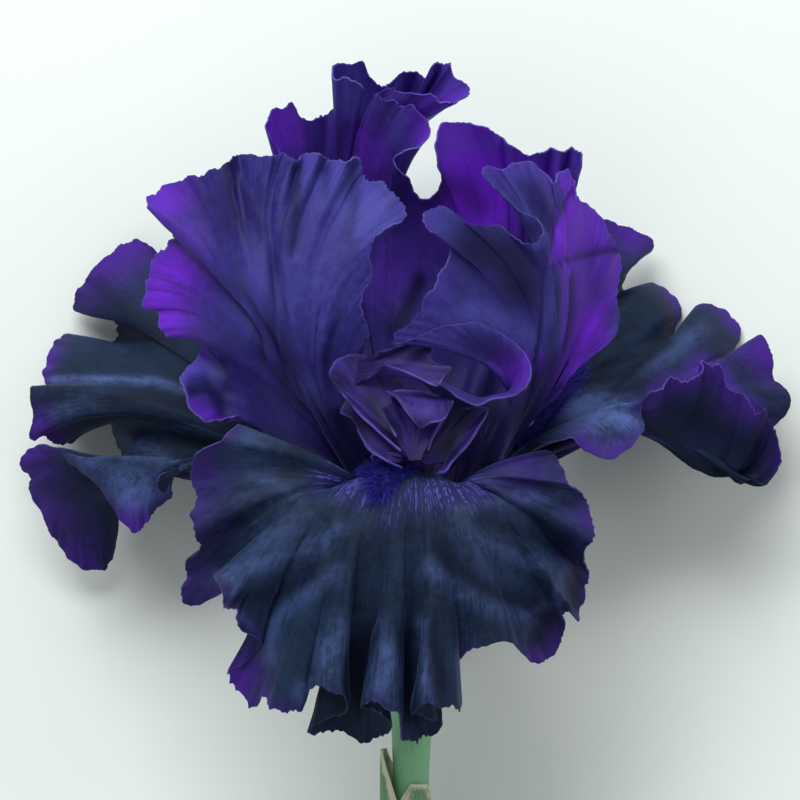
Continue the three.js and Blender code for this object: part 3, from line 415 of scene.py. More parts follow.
      [41.4, 56.4, 1], [42.8, 53.4, 2], [44.6, 50.4, 0], [45.4, 48, -3], [45.2, 44, -2],
      [44.7, 40, -1], [45.4, 35.4, -3], [44.6, 31.6, -2], [42, 29, 0], [38, 27, 2], [34.6, 26, 4],
    ],
  },
  "standard_back": {
    "face": 1,
    "fine": 0.16,
    "roll": 0.8,
    "creases": {
      "shade": [
        [2.2, 0, 1.0, [[2.5, 43], [0.5, 38], [-3, 32]]],
        [2, 0, 0.5, [[-5, 60], [-8, 54], [-8, 48]]],
        [3, 0, 0.55, [[7, 64], [12, 62.5], [15, 59]]],
        [2, 0, 0.6, [[-14, 76], [-15, 68]]],
      ],
      "painted_sheen": [
        [0.5, 0.2, 1.2, [[-3.4, 33.2], [-1.8, 36.6]]],
        [0.4, 0.2, 1.2, [[-2, 32.6], [-0.9, 35.6]]],
        [3.2, 0, 0.45, [[8, 72], [13, 73.5], [20, 72]]],
        [3, 0, 0.8, [[-13, 86], [-11.5, 80]]],
        [3.4, 0, 0.85, [[-4, 79], [-1, 73], [1, 67]]],
      ],
    },
    "patches": {
      "backlight": [
        [-28, 75, -12, 9, 0.8], [10, 72, -12, 12, 1.5], [18, 66, -14, 12, 1.5], [-8, 72, -22, 9, 0.6],
        [30, 68, -12, 5, 1.5], [14, 60, -20, 10, 1.5], [-4, 46, -30, 10, 0.3],
      ],
      "painted_sheen": [
        [8, 84, -14, 5, 0.8], [-3, 76, -9, 6, 0.8], [32, 69, -10, 5, 0.8],
      ],
    },
    "side": 180,
    "belly": [
      [29, 20, -44], [27, 30, -50], [28, 36, -44], [22, 38, -46], [-8, 42, -50], [-14, 43, -52],
      [-12, 44, -54], [-8, 44, -54], [-8, 43, -54], [-14, 40, -50], [-20, 36, -46], [-20, 31, -39],
      [-20, 26, -32],
    ],
    "swells": [{ "at": 0.53, "wide": 0.1, "out": 3, "by": [-9, 0, 0] }],
    "smooth": 4,
    "ruffle": 4,
    "margin": [
      [33, 56, -14], [35.4, 63, -10], [36.9, 69.6, -8], [36, 71.6, -9], [34.4, 72.2, -11],
      [32.6, 71, -9], [30.4, 71.8, -12], [28, 71, -10], [25, 70.4, -13], [22, 72, -10],
      [19.6, 73.8, -14], [17, 75.6, -11], [13, 77, -13], [9, 77.4, -11], [6, 76, -8],
      [5.2, 72, -7], [5.6, 68, -8], [6.6, 64.8, -11], [5.6, 61.8, -14], [3, 60.2, -17],
      [0.8, 61.8, -16], [-0.2, 64.6, -13], [-2.4, 66.4, -10], [-3.6, 69, -9], [-1.6, 70.6, -7],
      [2, 71.6, -7], [4.4, 74.6, -8], [3.2, 78, -8], [0.4, 80.4, -8], [-2.4, 80.8, -10],
      [-5, 82, -10], [-7.6, 83, -13], [-4, 84.2, -11], [0, 83.2, -9], [4, 83, -8], [7, 81.4, -8],
      [9.6, 81.2, -9], [12.6, 82.8, -13], [13, 84, -18], [11, 86, -21], [9.4, 87.6, -23],
      [9, 90, -22], [6.8, 89.6, -24], [5, 90, -21], [4.4, 87, -23], [1.6, 87.6, -26], [-1.4, 88, -24],
      [-4, 86, -26], [-6.4, 85, -23], [-9, 86.8, -21], [-10.4, 89.6, -19], [-13.4, 89.6, -21],
      [-17, 89, -17], [-16.4, 86, -14], [-13.6, 86.6, -12], [-10.2, 84, -13], [-11, 81, -17],
      [-14.6, 80.4, -21], [-18, 79, -23], [-20.6, 77.4, -20], [-23.4, 77.6, -16], [-25.4, 80.8, -14],
      [-28, 79.8, -13], [-30.4, 78.4, -11], [-31, 75, -9], [-28.4, 71, -10], [-26, 62, -12],
      [-25, 52, -14],
    ],
  },
}

# The blades of the front style arm and of its crests.
FRONT_STYLE = [
  {
    "claw": None,
    "belly": [[-3, 10, 12], [1.5, 14, 17], [6, 10, 12]],
    "margin": [
      [-7, 3.4, 21], [-7.4, 5, 26], [-4, 5.4, 32], [1.4, 4.6, 36.4], [6, 5.4, 32], [9, 5, 26],
      [9, 3.4, 21],
    ],
  },
  {
    "claw": [[-1.4, 3.6, 34.4], [1, 5.4, 34]],
    "belly": [[-6.4, 4, 31], [-4.6, 8, 28], [-1, 12, 26]],
    "margin": [
      [-0.6, 2.6, 37.2], [-3.2, 3.7, 36.4], [-6, 5.2, 33.8], [-8.2, 6.6, 30], [-10.2, 9.8, 27.4],
      [-12, 13.4, 25], [-14.4, 14.6, 22.6], [-12, 18, 21], [-8, 18.4, 22], [-4, 18, 24],
    ],
  },
  {
    "claw": [[-0.6, 5.2, 35.8], [1.6, 6, 35]],
    "belly": [[-7, 11, 33], [-7, 14, 28], [-2, 16, 27]],
    "margin": [
      [-1, 6.2, 36], [-4.2, 8.8, 35], [-7.4, 11.6, 33], [-10, 13.8, 31], [-12.4, 16.6, 29],
      [-15, 19.6, 26.8], [-16.8, 22, 26], [-16, 25, 27], [-13, 26.8, 27.4], [-9, 26.8, 28],
      [-4, 24, 28.4], [-1, 21, 29],
    ],
  },
  {
    "claw": [[0.6, 4.2, 36.6], [3, 4.2, 36.2]],
    "belly": [[-3, 10, 36], [0, 13, 33], [3, 13, 32], [6, 11, 33]],
    "margin": [
      [-2.2, 9.4, 36.4], [-4.2, 12.6, 35.6], [-5.4, 15.4, 34.4], [-3.6, 16.6, 33.4],
      [-3.4, 18.8, 32.2], [2, 19.4, 31.4], [6.8, 18.2, 31.2], [8.6, 16.6, 31.2], [7.6, 13, 33],
      [5.8, 9.4, 34.6], [4.6, 6.4, 35.6],
    ],
  },
  {
    "claw": [[-3.6, 18.4, 32.2], [8.4, 17.4, 31.2]],
    "belly": [[-2.4, 18.6, 35], [0, 17.4, 36.4], [4, 16.8, 37], [7.6, 17, 35.6], [9.8, 17, 33.4]],
    "margin": [
      [-4.4, 18.9, 33.4], [-1.8, 16.8, 35.6], [-0.4, 14.8, 36.6], [1.2, 12.8, 37.2],
      [2.8, 11, 37.4], [5, 12, 37.2], [7.6, 12.8, 36.4], [8.8, 14.6, 35], [9.8, 16.8, 32.6],
    ],
  },
  {
    "claw": [[2.6, 4, 35.6], [4.8, 3.2, 34.6]],
    "belly": [[6, 9, 28], [9, 8, 26], [10, 5, 28]],
    "margin": [
      [10, 16, 27.4], [13, 15.8, 27.6], [15, 16.4, 26.4], [17.6, 15.6, 25.8], [15.8, 12, 28],
      [14, 8.8, 29.6], [12.2, 6.6, 30.8], [9.6, 3.8, 32.4], [8.2, 1.8, 33.6], [6.4, 1.4, 34.6],
    ],
  },
  {
    "claw": [[-11, 20, 27.8], [-10.4, 25, 27.8]],
    "belly": [[-6.4, 22.6, 32], [-3, 25.2, 33], [-4.4, 27.4, 32.4]],
    "margin": [
      [-5, 24.7, 33.6], [-1.4, 23.6, 34.6], [2, 22.2, 35.4], [5, 20.7, 36], [7, 20.2, 36.2],
      [8.2, 22, 36], [9.8, 24, 36], [7, 24.6, 34.8], [5.2, 25.8, 33.2], [5.2, 28, 31.2],
      [5, 29.8, 30.2], [1, 29.4, 31.3], [-3, 28.2, 32.6], [-7, 27.2, 31.2],
    ],
  },
]

# Beards, as shares of the fall's margin (middle) and of its length (start, end).
BEARDS = {
  "front": {"middle": 0.43, "start": 0.2, "end": 0.52, "half_width": 5.5, "hairs": 1900},
  "left": {"middle": 0.69, "start": 0.17, "end": 0.28, "half_width": 2.2, "hairs": 900},
  "right": {"middle": 0.2, "start": 0.22, "end": 0.46, "half_width": 3, "hairs": 900},
}

# The tube and the ovary: height, radius and how far its three ribs stand out.
OVARY_PROFILE = [
  [TUBE_MOUTH, TUBE_MOUTH_RADIUS, 0], [-12, 5.6, 0], [-15, 4.3, 0], [-20, 3.3, 0.02],
  [-26, 3, 0.04], [-31, 3.3, 0.07], [-36, 3.9, 0.09], [-43, 4.3, 0.09], [-50, 4.3, 0.08],
  [-56, 4.1, 0.04], [-60, 3.95, 0.02], [STEM_TOP + 0.3, STEM_RADIUS, 0],
]

# The sheaths: the middle's direction in degrees, radius, heights, and how far the tip leans out.
SPATHES = {
  "spathe_inner": {"facing": 22, "radius": 4.95, "foot": -98, "tip": -65, "flare": 0},
  "spathe_outer": {"facing": 258, "radius": 6.1, "foot": -103, "tip": -57.5, "flare": 0.3},
}

# Painted shade in the hollows between the style's blades: a width, how dark, and a line across the
# front.
STYLE_HOLLOW_SHADES = [
    [2.8, 1.0, [[8.6, 7], [10.5, 11], [12.8, 15.5]]],
    [2.0, 0.85, [[-7.4, 17], [-4.6, 12.5], [-2, 9]]],
    [1.6, 0.7, [[-13, 13], [-10, 8]]],
]

# How finely each part is drawn, and how its edges fade, in millimetres or as shares.
PETAL_ROWS = 46
PETAL_COLUMNS = 600
ROW_CROWDING = 1.55
LACE_DEPTH = 0.008
CREASE_FADE = 1.5
PETAL_THIN_EDGE = 0.55

# How many waves the laced margins have: the fewest and the most.
TATTERS = (16, 60)
FINE_TATTERS = (60, 130)
FLUTES = (18, 44)
FINE_FLUTES = (50, 115)
LEAF_TATTERS = (5, 14)
SPATHE_RIPPLES = (3, 9)

LEAF_ROWS = 18
LEAF_COLUMNS = 40
LEAF_LACE_DEPTH = 0.02
HOLLOW_SHADE_FADE = 0.7
OVARY_RINGS = 60
STEM_RINGS = 40
SPATHE_ROWS = 40
SPATHE_COLUMNS = 60
SMALL_STEP = 0.004


def curve(points):
    """A smooth curve through points, as a function of places from 0 to 1 along it."""
    points = np.asarray(points, dtype=float)
    last = len(points) - 1
    rows = np.vstack([2 * points[0] - points[1], points, 2 * points[-1] - points[-2]])

    def at(place):
        along = np.clip(np.asarray(place, dtype=float), 0, 1) * last
        first = np.minimum(along.astype(int), last - 1)
        w = (along - first)[..., None]
        a, b, c, d = (rows[first + k] for k in range(4))
        gaps = (b - a, c - b, d - c)
        steps = [np.sqrt(np.linalg.norm(gap, axis=-1, keepdims=True)) for gap in gaps]
        middle = np.where(steps[1] < 1e-4, 1, steps[1])
        before = np.where(steps[0] < 1e-4, middle, steps[0])
        after = np.where(steps[2] < 1e-4, middle, steps[2])
        start = ((b - a) / before - (c - a) / (before + middle) + (c - b) / middle) * middle
        stop = ((c - b) / middle - (d - b) / (middle + after) + (d - c) / after) * middle
        return (
            b
            + start * w
            + (3 * (c - b) - 2 * start - stop) * w**2
            + (2 * (b - c) + start + stop) * w**3
        )

    return at


def unruffled(points, width):
    """The edge without its ruffles: each point is a weighted mean of its neighbours."""
    points = np.asarray(points, dtype=float)
    last = len(points) - 1
    reach = math.ceil(width * 3)

    def near(i):
        if i < 0:
            return 2 * points[0] - points[min(-i, last)]
        if i > last:
            return 2 * points[last] - points[max(2 * last - i, 0)]
        return points[i]

    weights = [math.exp(-(k * k) / (2 * width * width)) for k in range(-reach, reach + 1)]
    return np.array(
        [
            sum(w * near(i + k - reach) for k, w in enumerate(weights)) / sum(weights)
            for i in range(last + 1)
        ]
    )


def fan(shape):
    """A petal's sheet as a function of s, from the claw to the margin, and t, along the margin."""
    edge = curve(shape["margin"])
    plain = curve(unruffled(shape["margin"], shape.get("smooth", 1.5)))
    belly = curve(shape["belly"])
    foot, other_foot = (np.array(p, dtype=float) for p in shape["claw"])

    def at(s, t):
        s = np.asarray(s, dtype=float)[..., None]
        t = np.asarray(t, dtype=float)
        flat = plain(t)
        point = (1 - s) ** 2 * (foot + (other_foot - foot) * t[..., None])
        point = point + 2 * s * (1 - s) * belly(t) + s * s * flat
        point = point + (edge(t) - flat) * s ** shape.get("ruffle", 2)
        for swell in shape.get("swells", []):
            out = swell["out"]
            peak = (out / (out + 1)) ** out / (out + 1)
            share = s**out * (1 - s) / peak
            share = share * np.exp(-(((t - swell["at"]) / swell["wide"]) ** 2))[..., None]
            point = point + share * np.array(swell["by"], dtype=float)
        return point

    return at


def foot_on(side, ring, half_width):
    turn = math.radians(side)
    out = np.array([math.sin(turn), 0, math.cos(turn)])
    across = np.array([math.cos(turn), 0, -math.sin(turn)])
    middle = np.array([STEM_AXIS_X, CLAW_FOOT, 0]) + ring * out
    return [middle - half_width * across, middle + half_width * across]


def lace(t, seed, low, high, waves=9):
    """Small irregular waves along an edge, between low and high to the petal."""
    pick = np.random.default_rng(seed)
    total = np.zeros_like(t)
    for _ in range(waves):
        count = pick.uniform(low, high)
        total += pick.uniform(0.4, 1) * np.sin(2 * math.pi * (count * t + pick.random()))
    return total / math.sqrt(waves)


def swell_of(s, t, seed):
    """Soft unevenness over a petal's face, wider than it is long."""
    pick = np.random.default_rng(seed + 5)
    total = np.zeros_like(t)
    for _ in range(10):
        along, across = pick.uniform(0.5, 3.2), pick.uniform(2, 9)
        total += np.sin(2 * math.pi * (along * s + across * t + pick.random()))
    return total / math.sqrt(10)


def grid(rows, columns, low=0):
    """Places from 0 to 1 along a sheet's rows, and from low to 1 across its columns."""
    along = np.linspace(0, 1, rows)[:, None] * np.ones(columns)
    return along, np.linspace(low, 1, columns) * np.ones((rows, 1))


def unit(vectors):
    return vectors / np.maximum(np.linalg.norm(vectors, axis=-1, keepdims=True), 1e-9)


def outward(points):
    """Unit normals of a grid of points, along rows x columns."""
    return unit(np.cross(np.gradient(points, axis=0), np.gradient(points, axis=1)))


def to_margin(points):
    """How far each point of a sheet is from its last row, measured along the sheet."""
    steps = np.linalg.norm(np.diff(points, axis=0), axis=-1)
    return np.vstack([np.cumsum(steps[::-1], axis=0)[::-1], np.zeros((1, points.shape[1]))])


def beside(points, line):
    """How far each point is from a line drawn across the flower's front, and on which side."""
    nearest = np.full(points.shape[:2], np.inf)
    sides = np.ones(points.shape[:2])
    for start, stop in zip(line[:-1], line[1:]):
        start, ahead = np.array(start, dtype=float), np.subtract(stop, start)
        away = points[..., :2] - start
        place = np.clip(away @ ahead / (ahead @ ahead), 0, 1)
        gap = np.linalg.norm(away - place[..., None] * ahead, axis=-1)
        turn = ahead[0] * away[..., 1] - ahead[1] * away[..., 0]
        sides = np.where(gap < nearest, np.sign(turn), sides)
        nearest = np.minimum(gap, nearest)
    return nearest, sides


def bare(kind, name, **sizes):
    """A new primitive as the active object."""
    bpy.ops.object.select_all(action="DESELECT")
    getattr(bpy.ops.mesh, kind)(**sizes)
    piece = bpy.context.object
    piece.name = name
    piece.data.name = name
    return piece


def place_corners(piece, points):
    piece.data.vertices.foreach_set("co", np.ascontiguousarray(points, dtype=np.float32).ravel())
    piece.data.update()


def corners(piece):
    flat = np.empty(len(piece.data.vertices) * 3, dtype=np.float32)
    piece.data.vertices.foreach_get("co", flat)
    return flat.reshape(-1, 3).astype(float)


def note(piece, name, values):
    """A number at each corner of a piece, for its material to read."""
    layers = piece.data.attributes
    layer = layers.get(name) or layers.new(name, "FLOAT", "POINT")
    layer.data.foreach_set("value", np.ascontiguousarray(values, dtype=np.float32).ravel())


def noted(piece, name):
    values = np.empty(len(piece.data.vertices), dtype=np.float32)
    piece.data.attributes[name].data.foreach_get("value", values)
    return values


def cut_across(heights):
    """Rings of edges round the active piece."""
    bpy.ops.object.mode_set(mode="EDIT")
    for height in heights:
        bpy.ops.mesh.select_all(action="SELECT")
        bpy.ops.mesh.bisect(plane_co=(0, 0, height), plane_no=(0, 0, 1))
    bpy.ops.object.mode_set(mode="OBJECT")


def face_outward(triangles=False):
    """Turns the active piece's faces outward, and makes them triangles where that is asked."""
    bpy.ops.object.mode_set(mode="EDIT")
    bpy.ops.mesh.select_all(action="SELECT")
    if triangles:
        bpy.ops.mesh.quads_convert_to_tris()
    bpy.ops.mesh.normals_make_consistent(inside=False)
    bpy.ops.object.mode_set(mode="OBJECT")


def smooth(piece, angle=60):
    bpy.ops.object.select_all(action="DESELECT")
    piece.select_set(True)
    bpy.context.view_layer.objects.active = piece
    bpy.ops.object.shade_smooth_by_angle(angle=math.radians(angle))


def apply(piece, modifier):
    bpy.context.view_layer.objects.active = piece
    bpy.ops.object.modifier_apply(modifier=modifier.name)


def blade(name, points, thick, thin_edge, notes):
    """A grid of points, in millimetres, as a closed sheet that thins to its margin."""
    rows, columns = points.shape[:2]
    piece = bare(
        "primitive_grid_add", name, x_subdivisions=columns - 1, y_subdivisions=rows - 1, size=2,
        enter_editmode=False,
    )
    flat = corners(piece)
    column = np.rint((flat[:, 0] + 1) / 2 * (columns - 1)).astype(int)
    row = np.rint((flat[:, 1] + 1) / 2 * (rows - 1)).astype(int)
    place_corners(piece, laid(points)[row, column])
    for key, values in notes.items():
        note(piece, key, values[row, column])
    body = piece.vertex_groups.new(name="body")
    for k in range(rows):
        share = 1 - (1 - thin_edge) * (k / (rows - 1)) ** 3
        body.add(np.nonzero(row == k)[0].tolist(), share, "REPLACE")
    wall = piece.modifiers.new("wall", "SOLIDIFY")
    wall.thickness = thick / 1000
    wall.offset = 0
    wall.vertex_group = body.name
    wall.use_quality_normals = True
    apply(piece, wall)
    note(piece, "top_face", np.arange(len(piece.data.vertices)) >= len(flat))
    piece.vertex_groups.clear()
    face_outward()
    smooth(piece, 75)
    return piece


def petal(name, shape, seed):
    """One petal: its ruffled sheet, the fine lace of its edge, and notes for its colours."""
    claw = foot_on(shape["side"], CLAW_RING, CLAW_HALF_WIDTH)
    sheet = fan({**shape, "claw": claw})
    depth, spread = grid(PETAL_ROWS, PETAL_COLUMNS)
    depth = 1 - (1 - depth) ** ROW_CROWDING
    tatter = 0.5 + 0.5 * np.tanh(1.4 * lace(spread, seed, *TATTERS))
    tatter = tatter + 0.5 * np.abs(lace(spread, seed + 1, *FINE_TATTERS))
    points = sheet(depth * (1 - LACE_DEPTH * tatter * depth**6), spread)
    flutes = lace(spread, seed + 2, *FLUTES) * (0.6 + 0.4 * np.sin(2 * math.pi * 3 * spread))
    fine = lace(spread, seed + 3, *FINE_FLUTES)
    rise = shape["fine"] * (depth**9 * flutes + 0.9 * depth**22 * fine)
    rise = rise + shape["roll"] * swell_of(depth, spread, seed) * np.sin(math.pi * depth) ** 0.6
    points = points + outward(points) * rise[..., None]
    to_edge = to_margin(points)
    # Tones for the material: painted light shining through, painted sheen and painted shade, and the
    # haft's own pale dashes.
    tones = {key: np.zeros_like(depth) for key in ("backlight", "painted_sheen", "shade", "haft")}
    for key, places in shape["patches"].items():
        for x, y, z, radius, strength in places:
            gap = np.linalg.norm(points - np.array([x, y, z]), axis=-1)
            tones[key] = np.maximum(tones[key], strength * np.exp(-((gap / radius) ** 2)))
    facing = outward(points)
    facing = facing * np.clip(3 * facing[..., 2:], -1, 1)
    raised = np.zeros_like(points)
    for key, rows in shape["creases"].items():
        for *widths, height, strength, line in rows:
            gap, sides = beside(points, line)
            band = np.exp(-((gap / np.where(sides > 0, widths[0], widths[-1])) ** 2))
            raised += facing * (height * band * np.minimum(1, to_edge / CREASE_FADE))[..., None]
            tones[key] = np.maximum(tones[key], strength * band)
    points = points + raised
    notes = {"reach": depth, "spread": spread, "to_edge": to_edge, **tones}
    piece = blade(name, points, PETAL_THICK, PETAL_THIN_EDGE, notes)
    if shape["face"] < 0:
        note(piece, "top_face", 1 - noted(piece, "top_face"))
    return piece


def leaf(name, shape, seed):
    """One blade of a style arm or of its crest."""
    sheet = fan(shape)
    depth, spread = grid(LEAF_ROWS, LEAF_COLUMNS)
    tatter = 0.5 + 0.5 * lace(spread, seed, *LEAF_TATTERS)
    points = sheet(depth * (1 - LEAF_LACE_DEPTH * depth**4 * tatter), spread)
    to_edge = to_margin(points)
    # Painted shade in the hollows between the blades, fading out at the very margin.
    shade = np.zeros_like(depth)
    for width, tone, line in STYLE_HOLLOW_SHADES:
        band = tone * np.exp(-((beside(points, line)[0] / width) ** 2))
        shade = np.maximum(shade, band * np.minimum(1, to_edge / HOLLOW_SHADE_FADE))
    notes = {"reach": depth, "spread": spread, "to_edge": to_edge, "shade": shade}
    return blade(name, points, STYLE_THICK, 0.8, notes)


def joined(name, parts):
    """Several pieces that grow from each other, as one piece."""
    bpy.ops.object.select_all(action="DESELECT")
    for part in parts:
        part.select_set(True)
    bpy.context.view_layer.objects.active = parts[0]
    bpy.ops.object.join()
    whole = bpy.context.object
    whole.name = name
    whole.data.name = name
    return whole


def turned(points, side, lift):
    """Points drawn towards the front, raised with their distance and turned to a side."""
    points = np.asarray(points, dtype=float)
    x, y, z = points[..., 0], points[..., 1], points[..., 2]
    turn = math.radians(side)
    return np.stack(
        [
            STEM_AXIS_X + x * math.cos(turn) + z * math.sin(turn),
            y + lift * z / ARM_LENGTH,
            z * math.cos(turn) - x * math.sin(turn),
        ],
        -1,
    )


def front_style():
    shapes = [dict(shape) for shape in FRONT_STYLE]
    shapes[0]["claw"] = foot_on(0, STYLE_RING, STYLE_HALF_WIDTH)
    return joined("style_front", [leaf("style_blade", s, 40 + k) for k, s in enumerate(shapes)])


def side_style(name, side, lift):
    arm = {
        "claw": [[k * STYLE_HALF_WIDTH, CLAW_FOOT, STYLE_RING] for k in (-1, 1)],
        "belly": [[-3.6, 11, 10], [0, 15, 15], [3.6, 11, 10]],
        "margin": [
            [-4.2, 7, 17], [-4.6, 9, 22], [-3, 11, 28], [0, 11.4, 31], [3, 11, 28], [4.6, 9, 22],
            [4.2, 7, 17],
        ],
    }
    blades = [arm]
    for k in (-1, 1):
        blades.append(
            {
                "claw": [[k * 0.6 - 1, 11.4, 29.4], [k * 0.6 + 1, 11.4, 29.4]],
                "belly": [[k * 2 - 2, 16, 29], [k * 2, 17, 28], [k * 2 + 2, 16, 29]],
                "margin": [
                    [k * 3 - 3, 15, 28.4], [k * 3.4 - 2.6, 18, 26.4], [k * 3.8, 20, 24],
                    [k * 3.4 + 2.6, 18, 26.4], [k * 3 + 3, 15, 28.4],
                ],
            }
        )
    parts = []
    for k, blade_shape in enumerate(blades):
        moved = {key: turned(value, side, lift) for key, value in blade_shape.items()}
        parts.append(leaf("style_blade", moved, 60 + k + int(side)))
    return joined(name, parts)


def rod(name, path, radii, sides):
    """A round stalk along a path, from a cylinder cut into rings."""
    rings = len(path)
    piece = bare("primitive_cylinder_add", name, vertices=sides, radius=1, depth=2)
    cut_across(-1 + 2 * k / (rings - 1) for k in range(1, rings - 1))
    path = np.asarray(path, dtype=float)
    ahead = unit(np.gradient(path, axis=0))
    side = unit(np.cross(ahead, [0.0, 0.3, 1.0]))
    up = np.cross(side, ahead)
    flat = corners(piece)
    ring = np.rint((flat[:, 2] + 1) / 2 * (rings - 1)).astype(int)
    wide = np.asarray(radii, dtype=float)[ring][:, None]
    points = path[ring] + wide * (flat[:, :1] * side[ring] + flat[:, 1:2] * up[ring])
    place_corners(piece, laid(points))
    note(piece, "along", ring / (rings - 1))
    face_outward()
    smooth(piece, 50)
    return piece


def stamen(name, side, rise):
    path = curve(
        [
            [0, CLAW_FOOT - 0.3, STAMEN_RING], [0, -3.4 + rise, 10], [0, 1.6 + 2 * rise, 16],
            [0, 3.6 + 3 * rise, 21.5], [0, 4 + 4 * rise, 25.5],
        ]
    )
    places = np.linspace(0, 1, 30)
    anther = np.sqrt(np.clip(np.sin(math.pi * (places - 0.6) / 0.44), 0, 1))
    anther[places < 0.62] = 0
    radii = FILAMENT_RADIUS * (1 + 0.75 * anther)
    radii[-1] = 0.25
    return rod(name, turned(path(places), side, 0), radii, 14)


def ovary():
    profile = curve(OVARY_PROFILE)(np.linspace(0, 1, OVARY_RINGS))
    path = [[STEM_AXIS_X, height, 0] for height in profile[:, 0]]
    piece = rod("ovary", path, [1] * OVARY_RINGS, 36)
    ring = np.rint(noted(piece, "along") * (OVARY_RINGS - 1)).astype(int)
    axis = laid(path)[ring]
    out = corners(piece) - axis
    turn = np.arctan2(out[:, 0], out[:, 2])
    scale = profile[ring, 1] * (1 + profile[ring, 2] * np.cos(3 * turn))
    scale = scale * (1 + 0.012 * np.cos(18 * turn))
    place_corners(piece, axis + out * scale[:, None])
    return piece


def stem():
    places = np.linspace(0, 1, STEM_RINGS)
    radii = STEM_RADIUS + (STEM_END_RADIUS - STEM_RADIUS) * places
    top = STEM_TOP + STEM_OVERLAP
    path = [[STEM_AXIS_X, top + (STEM_END - top) * p, 0] for p in places]
    piece = rod("stem", path, radii, 48)
    bevel = piece.modifiers.new("cut edge", "BEVEL")
    bevel.width = CUT_EDGE / 1000
    bevel.segments = 2
    bevel.limit_method = "ANGLE"
    apply(piece, bevel)
    smooth(piece, 50)
    return piece


def spathe(name, facing, radius, foot, tip, flare):
    """A sheath that grips the stem at its foot and narrows to its tip."""
    along, across = grid(SPATHE_ROWS, SPATHE_COLUMNS, -1)
    half = SPATHE_WRAP * (1 - 0.8 * along**3)
    turn = np.radians(facing + half * across)
    grip = np.clip(1 - along / SPATHE_GRIP, 0, 1) ** 2
    wide = radius + flare * along**2 - (radius - SPATHE_FOOT_RADIUS) * grip
    wide = wide + 0.12 * lace(across / 2, facing, *SPATHE_RIPPLES) * along**3
    height = foot + (tip - foot) * along
    points = np.stack([STEM_AXIS_X + wide * np.sin(turn), height, wide * np.cos(turn)], -1)
    to_edge = np.minimum((1 - np.abs(across)) * np.radians(half) * radius, tip - height)
    notes = {"reach": along, "spread": (across + 1) / 2, "to_edge": to_edge}
    return blade(name, points, SPATHE_THICK, 0.7, notes)


def beard_ground(shape, middle, start, end, half_width):
    """A beard's low ridge on a fall: its points, their normals, the way down the fall, how full the
    ridge is, and the places along and across it."""
    sheet = fan({**shape, "claw": foot_on(shape["side"], CLAW_RING, CLAW_HALF_WIDTH)})
    along, side = grid(BEARD_ROWS, BEARD_COLUMNS, -1)
    s = start + (end - start) * along
    crest = np.full_like(s, middle)
    width = np.linalg.norm(sheet(s, crest + SMALL_STEP) - sheet(s, crest - SMALL_STEP), axis=-1)
    taper = 0.25 + 0.75 * np.sin(math.pi * np.minimum(1, 0.25 + 0.75 * along))
    reach = np.minimum(BEARD_WIDEST, half_width * taper * 2 * SMALL_STEP / width)
    t = middle + shape["face"] * side * reach
    down = sheet(s + SMALL_STEP, t) - sheet(s - SMALL_STEP, t)
    over = sheet(s, t + SMALL_STEP) - sheet(s, t - SMALL_STEP)
    normal = unit(np.cross(down, over) * shape["face"])
    full = np.sqrt(np.clip(np.sin(math.pi * (0.06 + 0.9 * along)), 0, 1))
    swell = BEARD_LIFT + BEARD_HEIGHT * full * np.sqrt(np.clip(1.05 - side**2, 0, 1))
    return sheet(s, t) + normal * swell[..., None], normal, unit(down), full, along, side


def one_hair():
    """A thin cone, one high, as its corners and triangles."""
    sizes = {"vertices": 3, "radius1": 1, "radius2": 0.15, "depth": 1, "location": (0, 0, 0.5)}
    hair = bare("primitive_cone_add", "beard_hair", **sizes)
    bpy.ops.object.transform_apply(location=True, rotation=True, scale=True)
    cut_across((0.3, 0.65))
    face_outward(triangles=True)
    one = corners(hair)
    triangles = np.array([tuple(p.vertices) for p in hair.data.polygons])
    bpy.data.objects.remove(hair)
    return one, triangles


